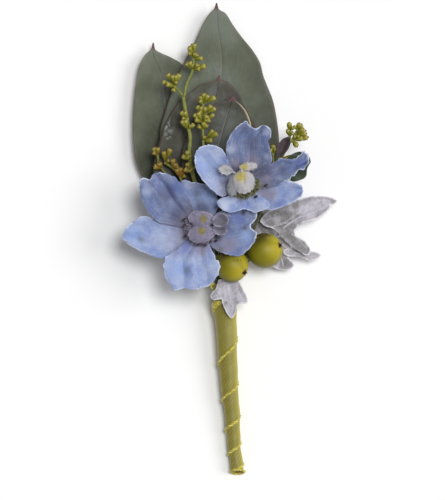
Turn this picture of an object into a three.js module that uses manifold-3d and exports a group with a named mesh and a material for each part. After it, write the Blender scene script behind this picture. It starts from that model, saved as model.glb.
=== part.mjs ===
// A boutonniere that lies on its back on a table: leaves at the back, bud sprays, two delphinium
// florets, two berries and two silver leaves, on stems that are bound in a ribbon.
// Millimetres. +Y runs along the stems towards the leaf tips, +Z points up from the table.
import * as THREE from "three";
import { mergeVertices } from "three/addons/utils/BufferGeometryUtils.js";
import Module from "manifold-3d";

const wasm = await Module();
wasm.setup();

// ---------------------------------------------------------------- driving dimensions, mm
const CLEARANCE = 0.3;
const LEAF_THICK = 0.7;
const PETAL_THICK = 0.6;
const STALK_RADIUS = 0.45;
const MERGE = 1e-3;

// The bound handle: stations along its axis as [y, x, z, outer radius].
const HANDLE = [
  [-14.2, -2.0, 5.0, 3.85],
  [-19.0, -1.7, 4.75, 3.8],
  [-26.3, -1.3, 4.35, 3.2],
  [-45.6, -0.3, 3.35, 2.6],
  [-55.3, 0.7, 2.8, 2.25],
  [-64.7, 1.25, 2.3, 1.85],
  [-74.0, 2.5, 1.85, 1.85],
];
const HANDLE_TOP = HANDLE[0][0];
const HANDLE_END = HANDLE.at(-1)[0];
const CUT_SLOPE = 1.5; // the cut end slants back this far from its underside to its top
const RIBBON_THICK = 0.65;
const RIBBON_STEP = 0.22; // one turn stands this far proud of the turn it laps
const RIBBON_BEAD = 0.28; // the twisted selvage along the lower edge of each turn
// Where the ribbon's lower edge crosses the left side of the handle, from the cut end up.
const TURN_EDGES = [-80, -73.6, -67.8, -60.3, -50.9, -39.7, -23.1, -14.5, -4, 6];
const WRAP_SIDES = 14;
const COLLAR_DEPTH = 4.5; // how far the separate stalks reach down inside the ribbon

const BERRY_FRONT = { centre: [0.6, -8.3, 12.2], radius: 5.15, tip: [0.76, -0.41, 0.5] };
const BERRY_SIDE = { centre: [10.9, -3.6, 9.9], radius: 5.5, tip: [0.84, 0.3, 0.46] };
const FLORET_LEFT = { hub: [-9.4, 3.4, 15.6] };
const FLORET_RIGHT = { hub: [4.1, 17.5, 19.6] };
const HUB_RADIUS = 3.2;
const HUB_THICK = 1.1;

// Two flat spots under the leaves and the cut end of the handle carry the whole.
const REST_LEFT = [-15, 36];
const REST_RIGHT = [9, 40];
const REST_PRESS = { left: 0.25, right: 0.3 }; // pressed this far into the table and trimmed flat
const LEAF_GAP = 2.2; // one leaf lies this far above the leaf behind it
const LEAF_RIDGE = 0.25; // the halves of a leaf rise this far from its midrib

// Thin stalks, by radius.
const TWIG_RADIUS = 0.4;
const SIDE_TWIG_RADIUS = 0.36;
const BUD_STALK_RADIUS = 0.24;
const BUD_RADIUS = 0.6;
const FILAMENT_RADIUS = 0.3;
const ANTHER_RADIUS = 0.5;
const SPUR_RADII = [1, 0.45];
const INNER_RISE = 3; // the inner petals stand this far above the foot of their claws

// ---------------------------------------------------------------- solids
const vector = ([x, y, z = 0]) => new THREE.Vector3(x, y, z);
const curveOf = (points) => new THREE.CatmullRomCurve3(points.map(vector), false, "centripetal");
const clamp = THREE.MathUtils.clamp;
const lerp = THREE.MathUtils.lerp;

// A closed triangle mesh as a solid, with its faces turned outwards.
function solidOf(positions, faces) {
  const geometry = new THREE.BufferGeometry();
  geometry.setAttribute("position", new THREE.Float32BufferAttribute(positions.flat(), 3));
  geometry.setIndex(faces.flat());
  return solidFrom(geometry);
}

function solidFrom(geometry) {
  const bare = geometry.clone();
  bare.deleteAttribute("normal");
  bare.deleteAttribute("uv");
  const merged = mergeVertices(bare, MERGE);
  const corners = [];
  for (let i = 0; i < merged.index.count; i += 3) {
    const [a, b, c] = merged.index.array.slice(i, i + 3);
    if (a !== b && b !== c && c !== a) corners.push(a, b, c);
  }
  const make = (order) =>
    new wasm.Manifold(
      new wasm.Mesh({
        numProp: 3,
        vertProperties: new Float32Array(merged.attributes.position.array),
        triVerts: new Uint32Array(order),
      }),
    );
  const made = make(corners);
  return made.volume() > 0 ? made : make(corners.reverse());
}

function geometryOf(solid) {
  const mesh = solid.getMesh();
  const geometry = new THREE.BufferGeometry();
  geometry.setAttribute("position", new THREE.BufferAttribute(mesh.vertProperties, 3));
  geometry.setIndex(new THREE.BufferAttribute(mesh.triVerts, 1));
  geometry.computeVertexNormals();
  return geometry;
}

function fuse(solids) {
  if (solids.length === 1) return solids[0];
  const middle = solids.length >> 1;
  return fuse(solids.slice(0, middle)).add(fuse(solids.slice(middle)));
}

// Rings of equal length, joined into a closed body with a flat cap at each end.
function loft(rings) {
  const sides = rings[0].length;
  const faces = [];
  for (let r = 0; r + 1 < rings.length; r++) {
    for (let s = 0; s < sides; s++) {
      const a = r * sides + s;
      const b = r * sides + ((s + 1) % sides);
      faces.push([a, b, b + sides], [a, b + sides, a + sides]);
    }
  }
  const last = (rings.length - 1) * sides;
  for (let s = 1; s + 1 < sides; s++) {
    faces.push([0, s + 1, s], [last, last + s, last + s + 1]);
  }
  return solidOf(rings.flat(), faces);
}

// A round stalk along points, whose radius is a number or a function of 0..1 along it.
function stalk(points, radius = STALK_RADIUS, { sides = 6, steps = 3 * points.length } = {}) {
  const path = curveOf(points);
  const frames = path.computeFrenetFrames(steps, false);
  const rings = [];
  for (let i = 0; i <= steps; i++) {
    const centre = path.getPointAt(i / steps);
    const r = typeof radius === "function" ? radius(i / steps) : radius;
    const ring = [];
    for (let s = 0; s < sides; s++) {
      const angle = (2 * Math.PI * s) / sides;
      const p = centre
        .clone()
        .addScaledVector(frames.normals[i], r * Math.cos(angle))
        .addScaledVector(frames.binormals[i], r * Math.sin(angle));
      ring.push(p.toArray());
    }
    rings.push(ring);
  }
  return loft(rings);
}

// A thin sheet, closed round its rim. In plan it fills the outline between its left edge, its tip
// and its right edge, all seen from the base towards the tip. height(x, y, u, v) lifts its middle.
function blade({ left, tip, right, height, rows = 5, cols = 7, thick = PETAL_THICK }) {
  const edges = [curveOf([...left, tip[0]]), curveOf([...right, tip.at(-1)])];
  const rim = curveOf(tip);
  const base = [vector(left[0]), vector(right[0])];
  const ends = [vector(tip[0]), vector(tip.at(-1))];
  const middle = [];
  for (let r = 0; r <= rows; r++) {
    const u = r / rows;
    const row = [];
    for (let c = 0; c <= cols; c++) {
      const v = c / cols;
      const across = edges[0].getPointAt(u).lerp(edges[1].getPointAt(u), v);
      const along = base[0].clone().lerp(base[1], v).lerp(rim.getPointAt(v), u);
      const corners = base[0].clone().lerp(base[1], v).lerp(ends[0].clone().lerp(ends[1], v), u);
      const p = across.add(along).sub(corners);
      p.z = height(p.x, p.y, u, v);
      row.push(p);
    }
    middle.push(row);
  }
  return thicken(middle, thick);
}

// Both faces of a grid of points, split into triangles alike, and the rim that joins them.
function thicken(middle, thick) {
  const rows = middle.length - 1;
  const cols = middle[0].length - 1;
  const top = [];
  const bottom = [];
  for (let r = 0; r <= rows; r++) {
    for (let c = 0; c <= cols; c++) {
      const du = middle[Math.min(r + 1, rows)][c].clone().sub(middle[Math.max(r - 1, 0)][c]);
      const dv = middle[r][Math.min(c + 1, cols)].clone().sub(middle[r][Math.max(c - 1, 0)]);
      const normal = dv.cross(du).normalize().multiplyScalar(thick / 2);
      top.push(middle[r][c].clone().add(normal).toArray());
      bottom.push(middle[r][c].clone().sub(normal).toArray());
    }
  }
  const count = top.length;
  const at = (r, c) => r * (cols + 1) + c;
  const faces = [];
  for (let r = 0; r < rows; r++) {
    for (let c = 0; c < cols; c++) {
      const quad = [at(r, c), at(r, c + 1), at(r + 1, c + 1), at(r + 1, c)];
      faces.push([quad[0], quad[1], quad[2]], [quad[0], quad[2], quad[3]]);
      faces.push([quad[2] + count, quad[1] + count, quad[0] + count]);
      faces.push([quad[3] + count, quad[2] + count, quad[0] + count]);
    }
  }
  const loop = [];
  for (let c = 0; c < cols; c++) loop.push(at(0, c));
  for (let r = 0; r < rows; r++) loop.push(at(r, cols));
  for (let c = cols; c > 0; c--) loop.push(at(rows, c));
  for (let r = rows; r > 0; r--) loop.push(at(r, 0));
  loop.forEach((a, i) => {
    const b = loop[(i + 1) % loop.length];
    faces.push([a, b + count, b], [a, a + count, b + count]);
  });
  return solidOf([...top, ...bottom], faces);
}

// A round body turned about its own axis, which then points along direction.
function turned(profile, centre, direction, sides) {
  const points = profile.map(([radius, along]) => new THREE.Vector2(radius, along));
  const geometry = new THREE.LatheGeometry(points, sides);
  const up = new THREE.Vector3(0, 1, 0);
  const turn = new THREE.Quaternion().setFromUnitVectors(up, vector(direction).normalize());
  geometry.applyQuaternion(turn);
  geometry.translate(...centre);
  return solidFrom(geometry);
}

const tableBlock = new THREE.BoxGeometry(200, 200, 10);
tableBlock.translate(0, 0, -5);
const TABLE = solidFrom(tableBlock);

const scene = new THREE.Group();

function piece(name, solid, colour, roughness = 0.7) {
  const material = new THREE.MeshStandardMaterial({ color: colour, roughness, metalness: 0 });
  const mesh = new THREE.Mesh(geometryOf(solid), material);
  mesh.name = name;
  scene.add(mesh);
}

// ---------------------------------------------------------------- handle
// The value of a column of HANDLE at height y.
function handleAt(y, column) {
  const at = clamp(y, HANDLE_END, HANDLE_TOP);
  const i = Math.max(1, HANDLE.findIndex((station) => station[0] <= at));
  const [above, below] = [HANDLE[i - 1], HANDLE[i]];
  return lerp(above[column], below[column], (at - above[0]) / (below[0] - above[0]));
}

// Where the slanting cut lies on the handle. A turn runs from the left side over the front to the
// right side and back underneath.
const cutAt = (turn) => HANDLE_END + (CUT_SLOPE * (1 + Math.sin(2 * Math.PI * turn))) / 2;

function handlePoint(y, turn, proud) {
  const angle = 2 * Math.PI * turn;
  const at = clamp(y, cutAt(turn), HANDLE_TOP);
  const radius = handleAt(at, 3) + proud;
  return [handleAt(at, 1) - radius * Math.cos(angle), at, handleAt(at, 2) + radius * Math.sin(angle)];
}

function edgeHeight(turn) {
  const i = clamp(Math.floor(turn), 0, TURN_EDGES.length - 2);
  return lerp(TURN_EDGES[i], TURN_EDGES[i + 1], turn - i);
}

// Across one turn of ribbon, from its lower edge up: [share of the turn, how far proud].
const RIBBON_SECTION = [
  [0, RIBBON_STEP + RIBBON_BEAD],
  [0.08, RIBBON_STEP + RIBBON_BEAD],
  [0.11, RIBBON_STEP],
  [1, 0],
];

// The ribbon's outer skin follows its turns, so that each lap has a sharp edge; the bore is plain.
function ribbonWrap() {
  const turns = TURN_EDGES.length - 1;
  const points = [];
  const faces = [];
  const width = RIBBON_SECTION.length;
  const columns = turns * WRAP_SIDES;
  for (let i = 0; i <= columns; i++) {
    const turn = i / WRAP_SIDES;
    for (const [share, proud] of RIBBON_SECTION) {
      const y = edgeHeight(turn - 1 + share);
      const seen = clamp(y, cutAt(turn), HANDLE_TOP) === y;
      points.push(handlePoint(y, turn, seen ? proud : RIBBON_STEP / 2));
    }
  }
  for (let i = 0; i < columns; i++) {
    for (let j = 0; j + 1 < width; j++) {
      const a = i * width + j;
      faces.push([a, a + width, a + width + 1], [a, a + width + 1, a + 1]);
    }
  }
  for (let i = 0; i + WRAP_SIDES < columns; i++) {
    const under = i * width + width - 1;
    const over = (i + WRAP_SIDES) * width;
    faces.push([under, under + width, over + width], [under, over + width, over]);
  }
  return { points, faces, width, columns };
}

function ribbonSolid() {
  const { points, faces, width, columns } = ribbonWrap();
  const bore = [];
  const levels = HANDLE.map((station) => station[0]).reverse();
  for (const y of levels) {
    for (let s = 0; s < WRAP_SIDES; s++) {
      bore.push(handlePoint(y, s / WRAP_SIDES, -RIBBON_THICK));
    }
  }
  const first = points.length;
  points.push(...bore);
  for (let r = 0; r + 1 < levels.length; r++) {
    for (let s = 0; s < WRAP_SIDES; s++) {
      const a = first + r * WRAP_SIDES + s;
      const b = first + r * WRAP_SIDES + ((s + 1) % WRAP_SIDES);
      faces.push([a, b + WRAP_SIDES, b], [a, a + WRAP_SIDES, b + WRAP_SIDES]);
    }
  }
  const top = first + (levels.length - 1) * WRAP_SIDES;
  const lastColumn = columns - WRAP_SIDES;
  for (let s = 0; s < WRAP_SIDES; s++) {
    const next = (s + 1) % WRAP_SIDES;
    const low = [s * width, (s + 1) * width];
    faces.push([first + s, first + next, low[1]], [first + s, low[1], low[0]]);
    const high = [(lastColumn + s) * width + width - 1, (lastColumn + s + 1) * width + width - 1];
    faces.push([top + next, top + s, high[0]], [top + next, high[0], high[1]]);
  }
  return solidOf(points, faces).subtract(TABLE);
}

// The taped stems inside the ribbon: seven stems show as lobes of the section.
function stemBundle() {
  const inset = RIBBON_THICK + CLEARANCE;
  const sides = 14;
  const from = HANDLE_TOP - COLLAR_DEPTH - CLEARANCE;
  const to = HANDLE_END + CUT_SLOPE + 0.6;
  const steps = 7;
  const rings = [];
  for (let i = 0; i <= steps; i++) {
    const y = lerp(from, to, i / steps);
    const ring = [];
    for (let s = 0; s < sides; s++) {
      const lobe = s % 2 ? -0.25 : -0.02;
      ring.push(handlePoint(y, s / sides, -inset + lobe));
    }
    rings.push(ring);
  }
  return loft(rings);
}

piece("ribbon_wrap", ribbonSolid(), 0x8a8640, 0.5);
piece("stem_bundle", stemBundle(), 0x4c4a26, 0.9);

// Each stalk stands in its own place inside the ribbon's collar, given as [right, up] from its axis.
const ROW = 1.12;
const COLUMN = 0.58;
const PLACES = {
  leafLeft: [-3 * COLUMN, -ROW],
  leafBack: [-COLUMN, -ROW],
  leafMiddle: [COLUMN, -ROW],
  dustyRight: [3 * COLUMN, -ROW],
  sprayLow: [-4 * COLUMN, 0],
  sprayMain: [-2 * COLUMN, 0],
  leafFront: [0, 0],
  floretRight: [2 * COLUMN, 0],
  sprigRight: [4 * COLUMN, 0],
  floretLeft: [-3 * COLUMN, ROW],
  berries: [-COLUMN, ROW],
  dustyLow: [0, 2 * ROW],
};

// The first two points of a stalk: its foot inside the collar, and where it leaves the collar.
function fromCollar(place) {
  const [right, up] = PLACES[place];
  return [HANDLE_TOP - COLLAR_DEPTH, HANDLE_TOP].map((y) => [
    handleAt(y, 1) + right,
    y,
    handleAt(y, 2) + up,
  ]);
}

// ---------------------------------------------------------------- eucalyptus leaves
// A leaf's face is a shallow bowl whose lowest spot lies on the table. Its curvature differs to the
// left of that spot, to the right of it, and along the leaf.
const bowl = ({ low: [x0, y0], press, leftward, rightward, lengthwise }) => (x, y) => {
  const across = x < x0 ? leftward : rightward;
  return LEAF_THICK / 2 - press + across * (x - x0) ** 2 + lengthwise * (y - y0) ** 2;
};
const leftBowl = bowl({
  low: REST_LEFT, press: REST_PRESS.left, leftward: 0.017, rightward: 0.0034, lengthwise: 0.003,
});
const rightBowl = bowl({
  low: REST_RIGHT, press: REST_PRESS.right, leftward: 0.005, rightward: 0.005, lengthwise: 0.003,
});

const LEAVES = {
  left: {
    left: [[-8.8, 6], [-17, 10.5], [-25.5, 16.5], [-29.2, 23.5], [-30.3, 32], [-30.1, 42.5],
      [-29.3, 49.4], [-28.5, 54.1], [-26.7, 57.7], [-24.8, 59.7]],
    tip: [[-24.3, 61.6], [-23.9, 61.6]],
    right: [[-7.8, 6.8], [-7.6, 14], [-8, 26], [-9.2, 38], [-11.4, 48], [-14.8, 54.7],
      [-18.5, 57.1], [-21.5, 58.4], [-23.4, 59.5]],
    surface: leftBowl,
    petiole: [[-8.3, 6.4], [-6.2, -1, 4.6]],
    colour: 0x5f6950,
  },
  back: {
    left: [[-4.2, 3.6], [-10.6, 9], [-16.9, 16.2], [-20.6, 23.5], [-21.9, 29.4], [-21.8, 34.2],
      [-20.8, 38.1], [-18.3, 46.1], [-14.8, 54.7], [-10.8, 62.4], [-8.5, 67.4], [-6.5, 70.7],
      [-5, 72.2]],
    tip: [[-4.4, 74], [-4, 74]],
    right: [[-2.8, 3.4], [6.6, 8.6], [13.1, 16.9], [15.3, 24.7], [15.5, 30.9], [14.5, 39.2],
      [13.4, 44.1], [11.8, 48.1], [10.4, 51.7], [9.5, 55.4], [7.1, 59.4], [3.8, 63.4],
      [0.8, 67.5], [-1.5, 71], [-3.4, 72]],
    surface: rightBowl,
    petiole: [[-3.4, 3.4], [-3.1, -5, 4.1]],
    colour: 0x707c6e,
  },
  middle: {
    left: [[-4.6, 3.6], [-14, 9.2], [-20.6, 14.2], [-23.9, 20.8], [-22.3, 29.3], [-21.5, 32.6],
      [-19.7, 36.5], [-17, 41.5], [-11.8, 46.4], [-8.2, 48.8], [-4, 49.9]],
    tip: [[-3.6, 51.4], [-3.2, 51.4]],
    right: [[-3, 3.6], [5, 9.7], [9.6, 18.4], [10.2, 27.8], [8.3, 34.9], [6, 39.2], [4.3, 42.4],
      [3.1, 45.1], [1.1, 47.7], [-0.9, 49.4], [-2.7, 49.9]],
    surface: (x, y) => rightBowl(x, y) + LEAF_GAP + REST_PRESS.right,
    petiole: [[-3.7, 3.8], [-2.2, -6, 5.3]],
    colour: 0x667062,
  },
  front: {
    left: [[-4.4, 6.4], [-12.2, 15.3], [-15.2, 23.1], [-14.4, 29.4], [-10.9, 36.6], [-7.2, 40.9],
      [-3.2, 42.9], [0.1, 43.8]],
    tip: [[0.7, 45.1], [1.1, 45.1]],
    right: [[-2.8, 6.4], [1.6, 11.4], [5, 18.4], [6.7, 27.8], [6.7, 35.6], [6.2, 37.5], [5, 40.2],
      [3.4, 42.1], [1.7, 43.6]],
    surface: (x, y) => rightBowl(x, y) + 2 * LEAF_GAP + REST_PRESS.right,
    petiole: [[-3.4, 6.8], [-2.2, -7, 6.6]],
    colour: 0x5a6054,
  },
};

function eucalyptusLeaf(which) {
  const leaf = LEAVES[which];
  // The two halves rise from the midrib, most of all halfway along.
  const height = (x, y, u, v) =>
    leaf.surface(x, y) + LEAF_RIDGE * Math.abs(2 * v - 1) * 4 * u * (1 - u);
  const sheet = blade({ ...leaf, height, rows: 10, cols: 4, thick: LEAF_THICK });
  const [[x, y], bend] = leaf.petiole;
  const root = [x, y, leaf.surface(x, y)];
  const inside = [x + (x - bend[0]) * 0.1, y + 2.2, leaf.surface(x, y + 2.2)];
  const place = "leaf" + which[0].toUpperCase() + which.slice(1);
  const petiole = stalk([...fromCollar(place), bend, root, inside], STALK_RADIUS);
  return sheet.add(petiole).subtract(TABLE);
}

for (const which of Object.keys(LEAVES)) {
  piece("eucalyptus_leaf_" + which, eucalyptusLeaf(which), LEAVES[which].colour, 0.65);
}

// ---------------------------------------------------------------- bud sprays
const BUD_SIDES = 4;
// A bud and its short stalk in one: [distance back from the bud's tip, radius].
const BUD_PROFILE = [[1.7, BUD_STALK_RADIUS], [0.75, BUD_RADIUS], [0, 0.32]];

function bud(from, to) {
  const foot = vector(from);
  const tip = vector(to);
  const along = tip.clone().sub(foot);
  const length = along.length();
  along.normalize();
  const turn = new THREE.Quaternion().setFromUnitVectors(new THREE.Vector3(0, 0, 1), along);
  const stations = [[length, BUD_PROFILE[0][1]], ...BUD_PROFILE];
  const rings = stations.map(([back, radius], i) => {
    const ring = [];
    for (let s = 0; s < BUD_SIDES; s++) {
      const angle = (2 * Math.PI * s) / BUD_SIDES;
      const p = new THREE.Vector3(radius * Math.cos(angle), radius * Math.sin(angle), 0);
      const reach = i === 1 ? Math.min(back, 0.8 * length) : back;
      ring.push(p.applyQuaternion(turn).add(tip).addScaledVector(along, -reach).toArray());
    }
    return ring;
  });
  return loft(rings);
}

// A cluster of buds on short stalks from one joint; each end is [x, y] or [x, y, lift].
function umbel(joint, ends) {
  return ends.map(([x, y, lift = 0.5]) => bud(joint, [x, y, joint[2] + lift]));
}

function spray(stems, umbels) {
  return fuse([...stems, ...umbels.flat()]);
}

function mainSpray() {
  const fork = [-14.7, 44.8, 9.2];
  const upper = [-11.5, 53.2, 8.4];
  const top = [-11.5, 57.4, 8.8];
  const leftJoint = [-17.8, 48.8, 8.8];
  const side = [-8.6, 36.2, 11.6];
  const stems = [
    stalk(
      [...fromCollar("sprayMain"), [-3.8, -8, 5.9], [-5.2, 0, 10.6], [-8.8, 11, 12.3],
        [-11.6, 20, 12.6], [-12.7, 27, 12.4], [-12.4, 31.3, 12], [-13.2, 36, 11.2], fork],
      (t) => lerp(0.6, 0.5, t),
      { sides: 6, steps: 24 },
    ),
    stalk([[-14.4, 44, 9.3], [-13.6, 48.2, 8.8], upper, top], TWIG_RADIUS, { sides: 5, steps: 6 }),
    stalk([[-14.4, 44, 9.3], [-16.6, 47.4, 9], leftJoint], TWIG_RADIUS, { sides: 5, steps: 4 }),
    stalk(
      [[-11.9, 21, 12.6], [-8.6, 27, 12.9], [-8.4, 32, 12.4], side, [-8.4, 42, 11.4]],
      TWIG_RADIUS,
      { sides: 5, steps: 8 },
    ),
  ];
  const umbels = [
    umbel(top, [[-11.9, 60.9], [-11.1, 61.2, 1.2], [-12.6, 59.6, 1.4]]),
    umbel([-11.5, 55.2, 8.6], [[-8.9, 56.6], [-9.9, 58, 1.5], [-13.4, 57.2], [-12.5, 55.6, 1.6]]),
    umbel(upper, [[-7.7, 53.9], [-9.2, 52.9, 1.4], [-13.6, 54.6, 0.9], [-9.6, 54.4, 2]]),
    umbel(leftJoint, [[-19.6, 51.6], [-17.6, 51.4, 1.6], [-15.6, 51.2], [-20.9, 48.6],
      [-17.8, 46.4, 1.2], [-19.2, 49.8, 1.8]]),
    umbel([-8.4, 42, 11.4], [[-8.6, 45.6], [-7.2, 44.8, 1.4], [-5, 44.2], [-6.8, 46, 0.6]]),
    umbel([-8.5, 39, 11.6], [[-9.9, 41.6], [-5.6, 41.2], [-4.5, 40.2, 1], [-7.2, 40.8, 1.8]]),
    umbel(side, [[-10, 38.9, 1.2], [-11.4, 38.6], [-7, 38.4, 1.5], [-4.9, 38.9], [-6.4, 36.6, 1]]),
    umbel([-13, 34, 11.6], [[-14.8, 38.8], [-14.9, 36.2, 1], [-11, 35.6, 1.2]]),
    umbel([-8.3, 30, 12.7], [[-5.1, 33.8], [-3.9, 32.6, 0.8], [-6.2, 31.4, 1.2]]),
    umbel([-12.6, 24.4, 12.5], [[-13.8, 27.4, 0.9], [-14.8, 25.2, 1], [-13.4, 26, 1.6]]),
    umbel([-12, 20.6, 12.6], [[-13.2, 23.2, 1.3], [-14.2, 21.4, 0.9], [-12.6, 21.6, 1.9]]),
  ];
  return spray(stems, umbels);
}

function lowSpray() {
  const joint = [-18, 22.6, 10.6];
  const outer = [-22, 23, 10.2];
  const stems = [
    stalk(
      [...fromCollar("sprayLow"), [-5.4, -7, 6.2], [-10, 5, 10.6], [-13.5, 14, 11.2],
        [-16, 20, 10.8], joint],
      TWIG_RADIUS,
      { sides: 5, steps: 14 },
    ),
    stalk(
      [[-14.4, 16, 11], [-19, 19.4, 10.4], outer, [-22.6, 26, 10]],
      SIDE_TWIG_RADIUS,
      { sides: 5, steps: 6 },
    ),
  ];
  const umbels = [
    umbel([-22.6, 26, 10], [[-23.1, 28.4], [-21.6, 27.8, 1.1], [-20.4, 27.1]]),
    umbel(outer, [[-23.4, 22.2, 0.8], [-20.2, 24.4, 1.4], [-22, 21.4, 1.4]]),
    umbel(joint, [[-18.7, 27.8], [-20, 24.8, 1.2], [-17.2, 24.8, 1.6], [-16.6, 23, 1]]),
    umbel([-15.8, 19.6, 10.9], [[-16.6, 22, 1.3], [-14.8, 21.4, 0.5]]),
  ];
  return spray(stems, umbels);
}

function rightSprig() {
  const joint = [19.4, 30.7, 13.6];
  const sideTwig = (points, sides) => stalk(points, SIDE_TWIG_RADIUS, { sides, steps: 3 });
  const stems = [
    stalk(
      [...fromCollar("sprigRight"), [3.6, -8, 4.8], [8.2, 5, 7.8], [12.6, 17, 11.4], [14.6, 23.4, 12.5],
        [16.6, 28.2, 13], joint],
      TWIG_RADIUS,
      { sides: 5, steps: 18 },
    ),
    sideTwig([[18.9, 30.2, 13.5], [18.5, 32.2, 13.8], [18.5, 33.6, 14]], 5),
    sideTwig([joint, [20, 32.4, 13.8], [21.2, 34.2, 14]], 5),
    sideTwig([[13.6, 20, 12], [13.4, 25, 13], [13.3, 26.4, 13]], 4),
  ];
  const umbels = [
    umbel([18.5, 33.6, 14], [[18.4, 36.1]]),
    umbel([18.5, 31.8, 13.8], [[17.8, 34, 0.9]]),
    umbel([21, 33.8, 14], [[22.3, 35.6], [21.5, 35.9, 1.2]]),
    umbel([19.9, 32.1, 13.7], [[23.5, 33.6], [22.8, 34.3, 1.4], [23.7, 32.7, 1.1]]),
    umbel(joint, [[24.2, 31.6], [20.9, 28.7], [22.7, 31.3, 1.1]]),
    umbel([13.3, 26.4, 13], [[13.4, 29.2], [14.4, 28.2, 0.9]]),
    umbel([15.3, 25.5, 12.75], [[18.8, 24.8, 1.3], [19.9, 25.3, 0.8]]),
  ];
  return spray(stems, umbels);
}

piece("seeded_spray_main", mainSpray(), 0x96922c, 0.55);
piece("seeded_spray_low", lowSpray(), 0x8a7426, 0.55);
piece("seeded_sprig_right", rightSprig(), 0x968c2e, 0.55);

// Two small dark leaves beside the right sprig. The first is rolled along its length.
function rolledLeaf() {
  return blade({
    left: [[14.6, 25.6], [14.4, 28], [15.8, 30.6]],
    tip: [[17.6, 32], [18, 31.8]],
    right: [[15.6, 25.4], [16.9, 27], [17.9, 29.4]],
    height: (x, y, u, v) => 14.15 + 0.4 * u + 1.3 * Math.abs(2 * v - 1) ** 1.5,
    rows: 5,
    cols: 6,
  });
}

function broadLeaf() {
  return blade({
    left: [[17, 22.4], [18.4, 25.6], [21, 27]],
    tip: [[22.8, 26.9], [24.6, 25.4], [25, 23.8]],
    right: [[17.6, 20], [19.1, 17.9], [21.6, 18.2], [23.5, 19.3], [23.9, 21.8]],
    height: (x, y, u, v) => 14.1 + 2.1 * u + 0.6 * (2 * v - 1) ** 2,
    rows: 5,
    cols: 5,
  });
}

piece("sprig_leaf_rolled", rolledLeaf(), 0x43353a, 0.6);
piece("sprig_leaf_broad", broadLeaf(), 0x3c4a34, 0.6);

// ---------------------------------------------------------------- delphinium florets
// Each sepal: outline in plan, how far its tip lifts, how deep it cups, its ruffle, and its place
// in the overlap of the ring.
const SEPALS_LEFT = [
  {
    left: [[-11, 2.6], [-17, 4], [-22.5, 5.4], [-24.6, 7.4], [-26.3, 9.8], [-27.5, 12.6]],
    tip: [[-28.2, 15.9], [-27.9, 18.3], [-26.6, 18.9], [-24.9, 18.4], [-24, 19.8], [-22.2, 20.5],
      [-19.8, 20.3]],
    right: [[-9.4, 5.2], [-12, 11], [-14.4, 16], [-17, 19]],
    lift: 0.8, cup: 1.1, ruffle: 0.35, lap: 0.5,
  },
  {
    left: [[-10.8, 4.6], [-13, 10], [-15.4, 14.6]],
    tip: [[-16, 17.4], [-14.2, 18.2], [-11.6, 17.7], [-8.8, 17.2], [-6, 15.8], [-4.2, 13.4]],
    right: [[-7.6, 4.6], [-4.8, 7.6], [-3.6, 10.8]],
    lift: -0.2, cup: 0.7, ruffle: 0.25, lap: -0.4,
  },
  {
    left: [[-10.2, 1.6], [-15, -3.8], [-20.7, -6], [-25.5, -4.7], [-30, -2.6]],
    tip: [[-32.3, -1.1], [-33.5, 0.4], [-33, 2.4], [-30, 5.5]],
    right: [[-11, 4.6], [-16, 5.2], [-21.9, 5.2], [-24, 6.2], [-26.1, 7.1], [-27.9, 6.8]],
    lift: 0.2, cup: 0.9, ruffle: 0.2, lap: -0.3,
  },
  {
    left: [[-7.8, 2.4], [-6, -2.6], [-4.4, -5.6], [-3.2, -8.3]],
    tip: [[-3.7, -10.9], [-6, -13.9], [-9, -15.4], [-12, -15.8], [-14.1, -15.1], [-16.8, -16],
      [-18.6, -14.3]],
    right: [[-11, 2.2], [-15.8, -2.6], [-20.2, -6], [-20.6, -8.4], [-20.1, -11.5]],
    lift: 1.7, cup: 0.6, ruffle: 0.35, lap: 0.5,
  },
  {
    left: [[-8.4, 5.2], [-3, 8.6], [3, 10.4]],
    tip: [[7.6, 9.9], [8.4, 7], [6.3, 3.9], [8.2, 1.8], [7.5, -0.9]],
    right: [[-8.2, 1.8], [-6.2, -2], [-3.3, -4], [-0.7, -4.9], [2.6, -5.4], [5.3, -3.7]],
    lift: 1.3, cup: 0.9, ruffle: 0.3, lap: 0.2,
  },
];

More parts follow.
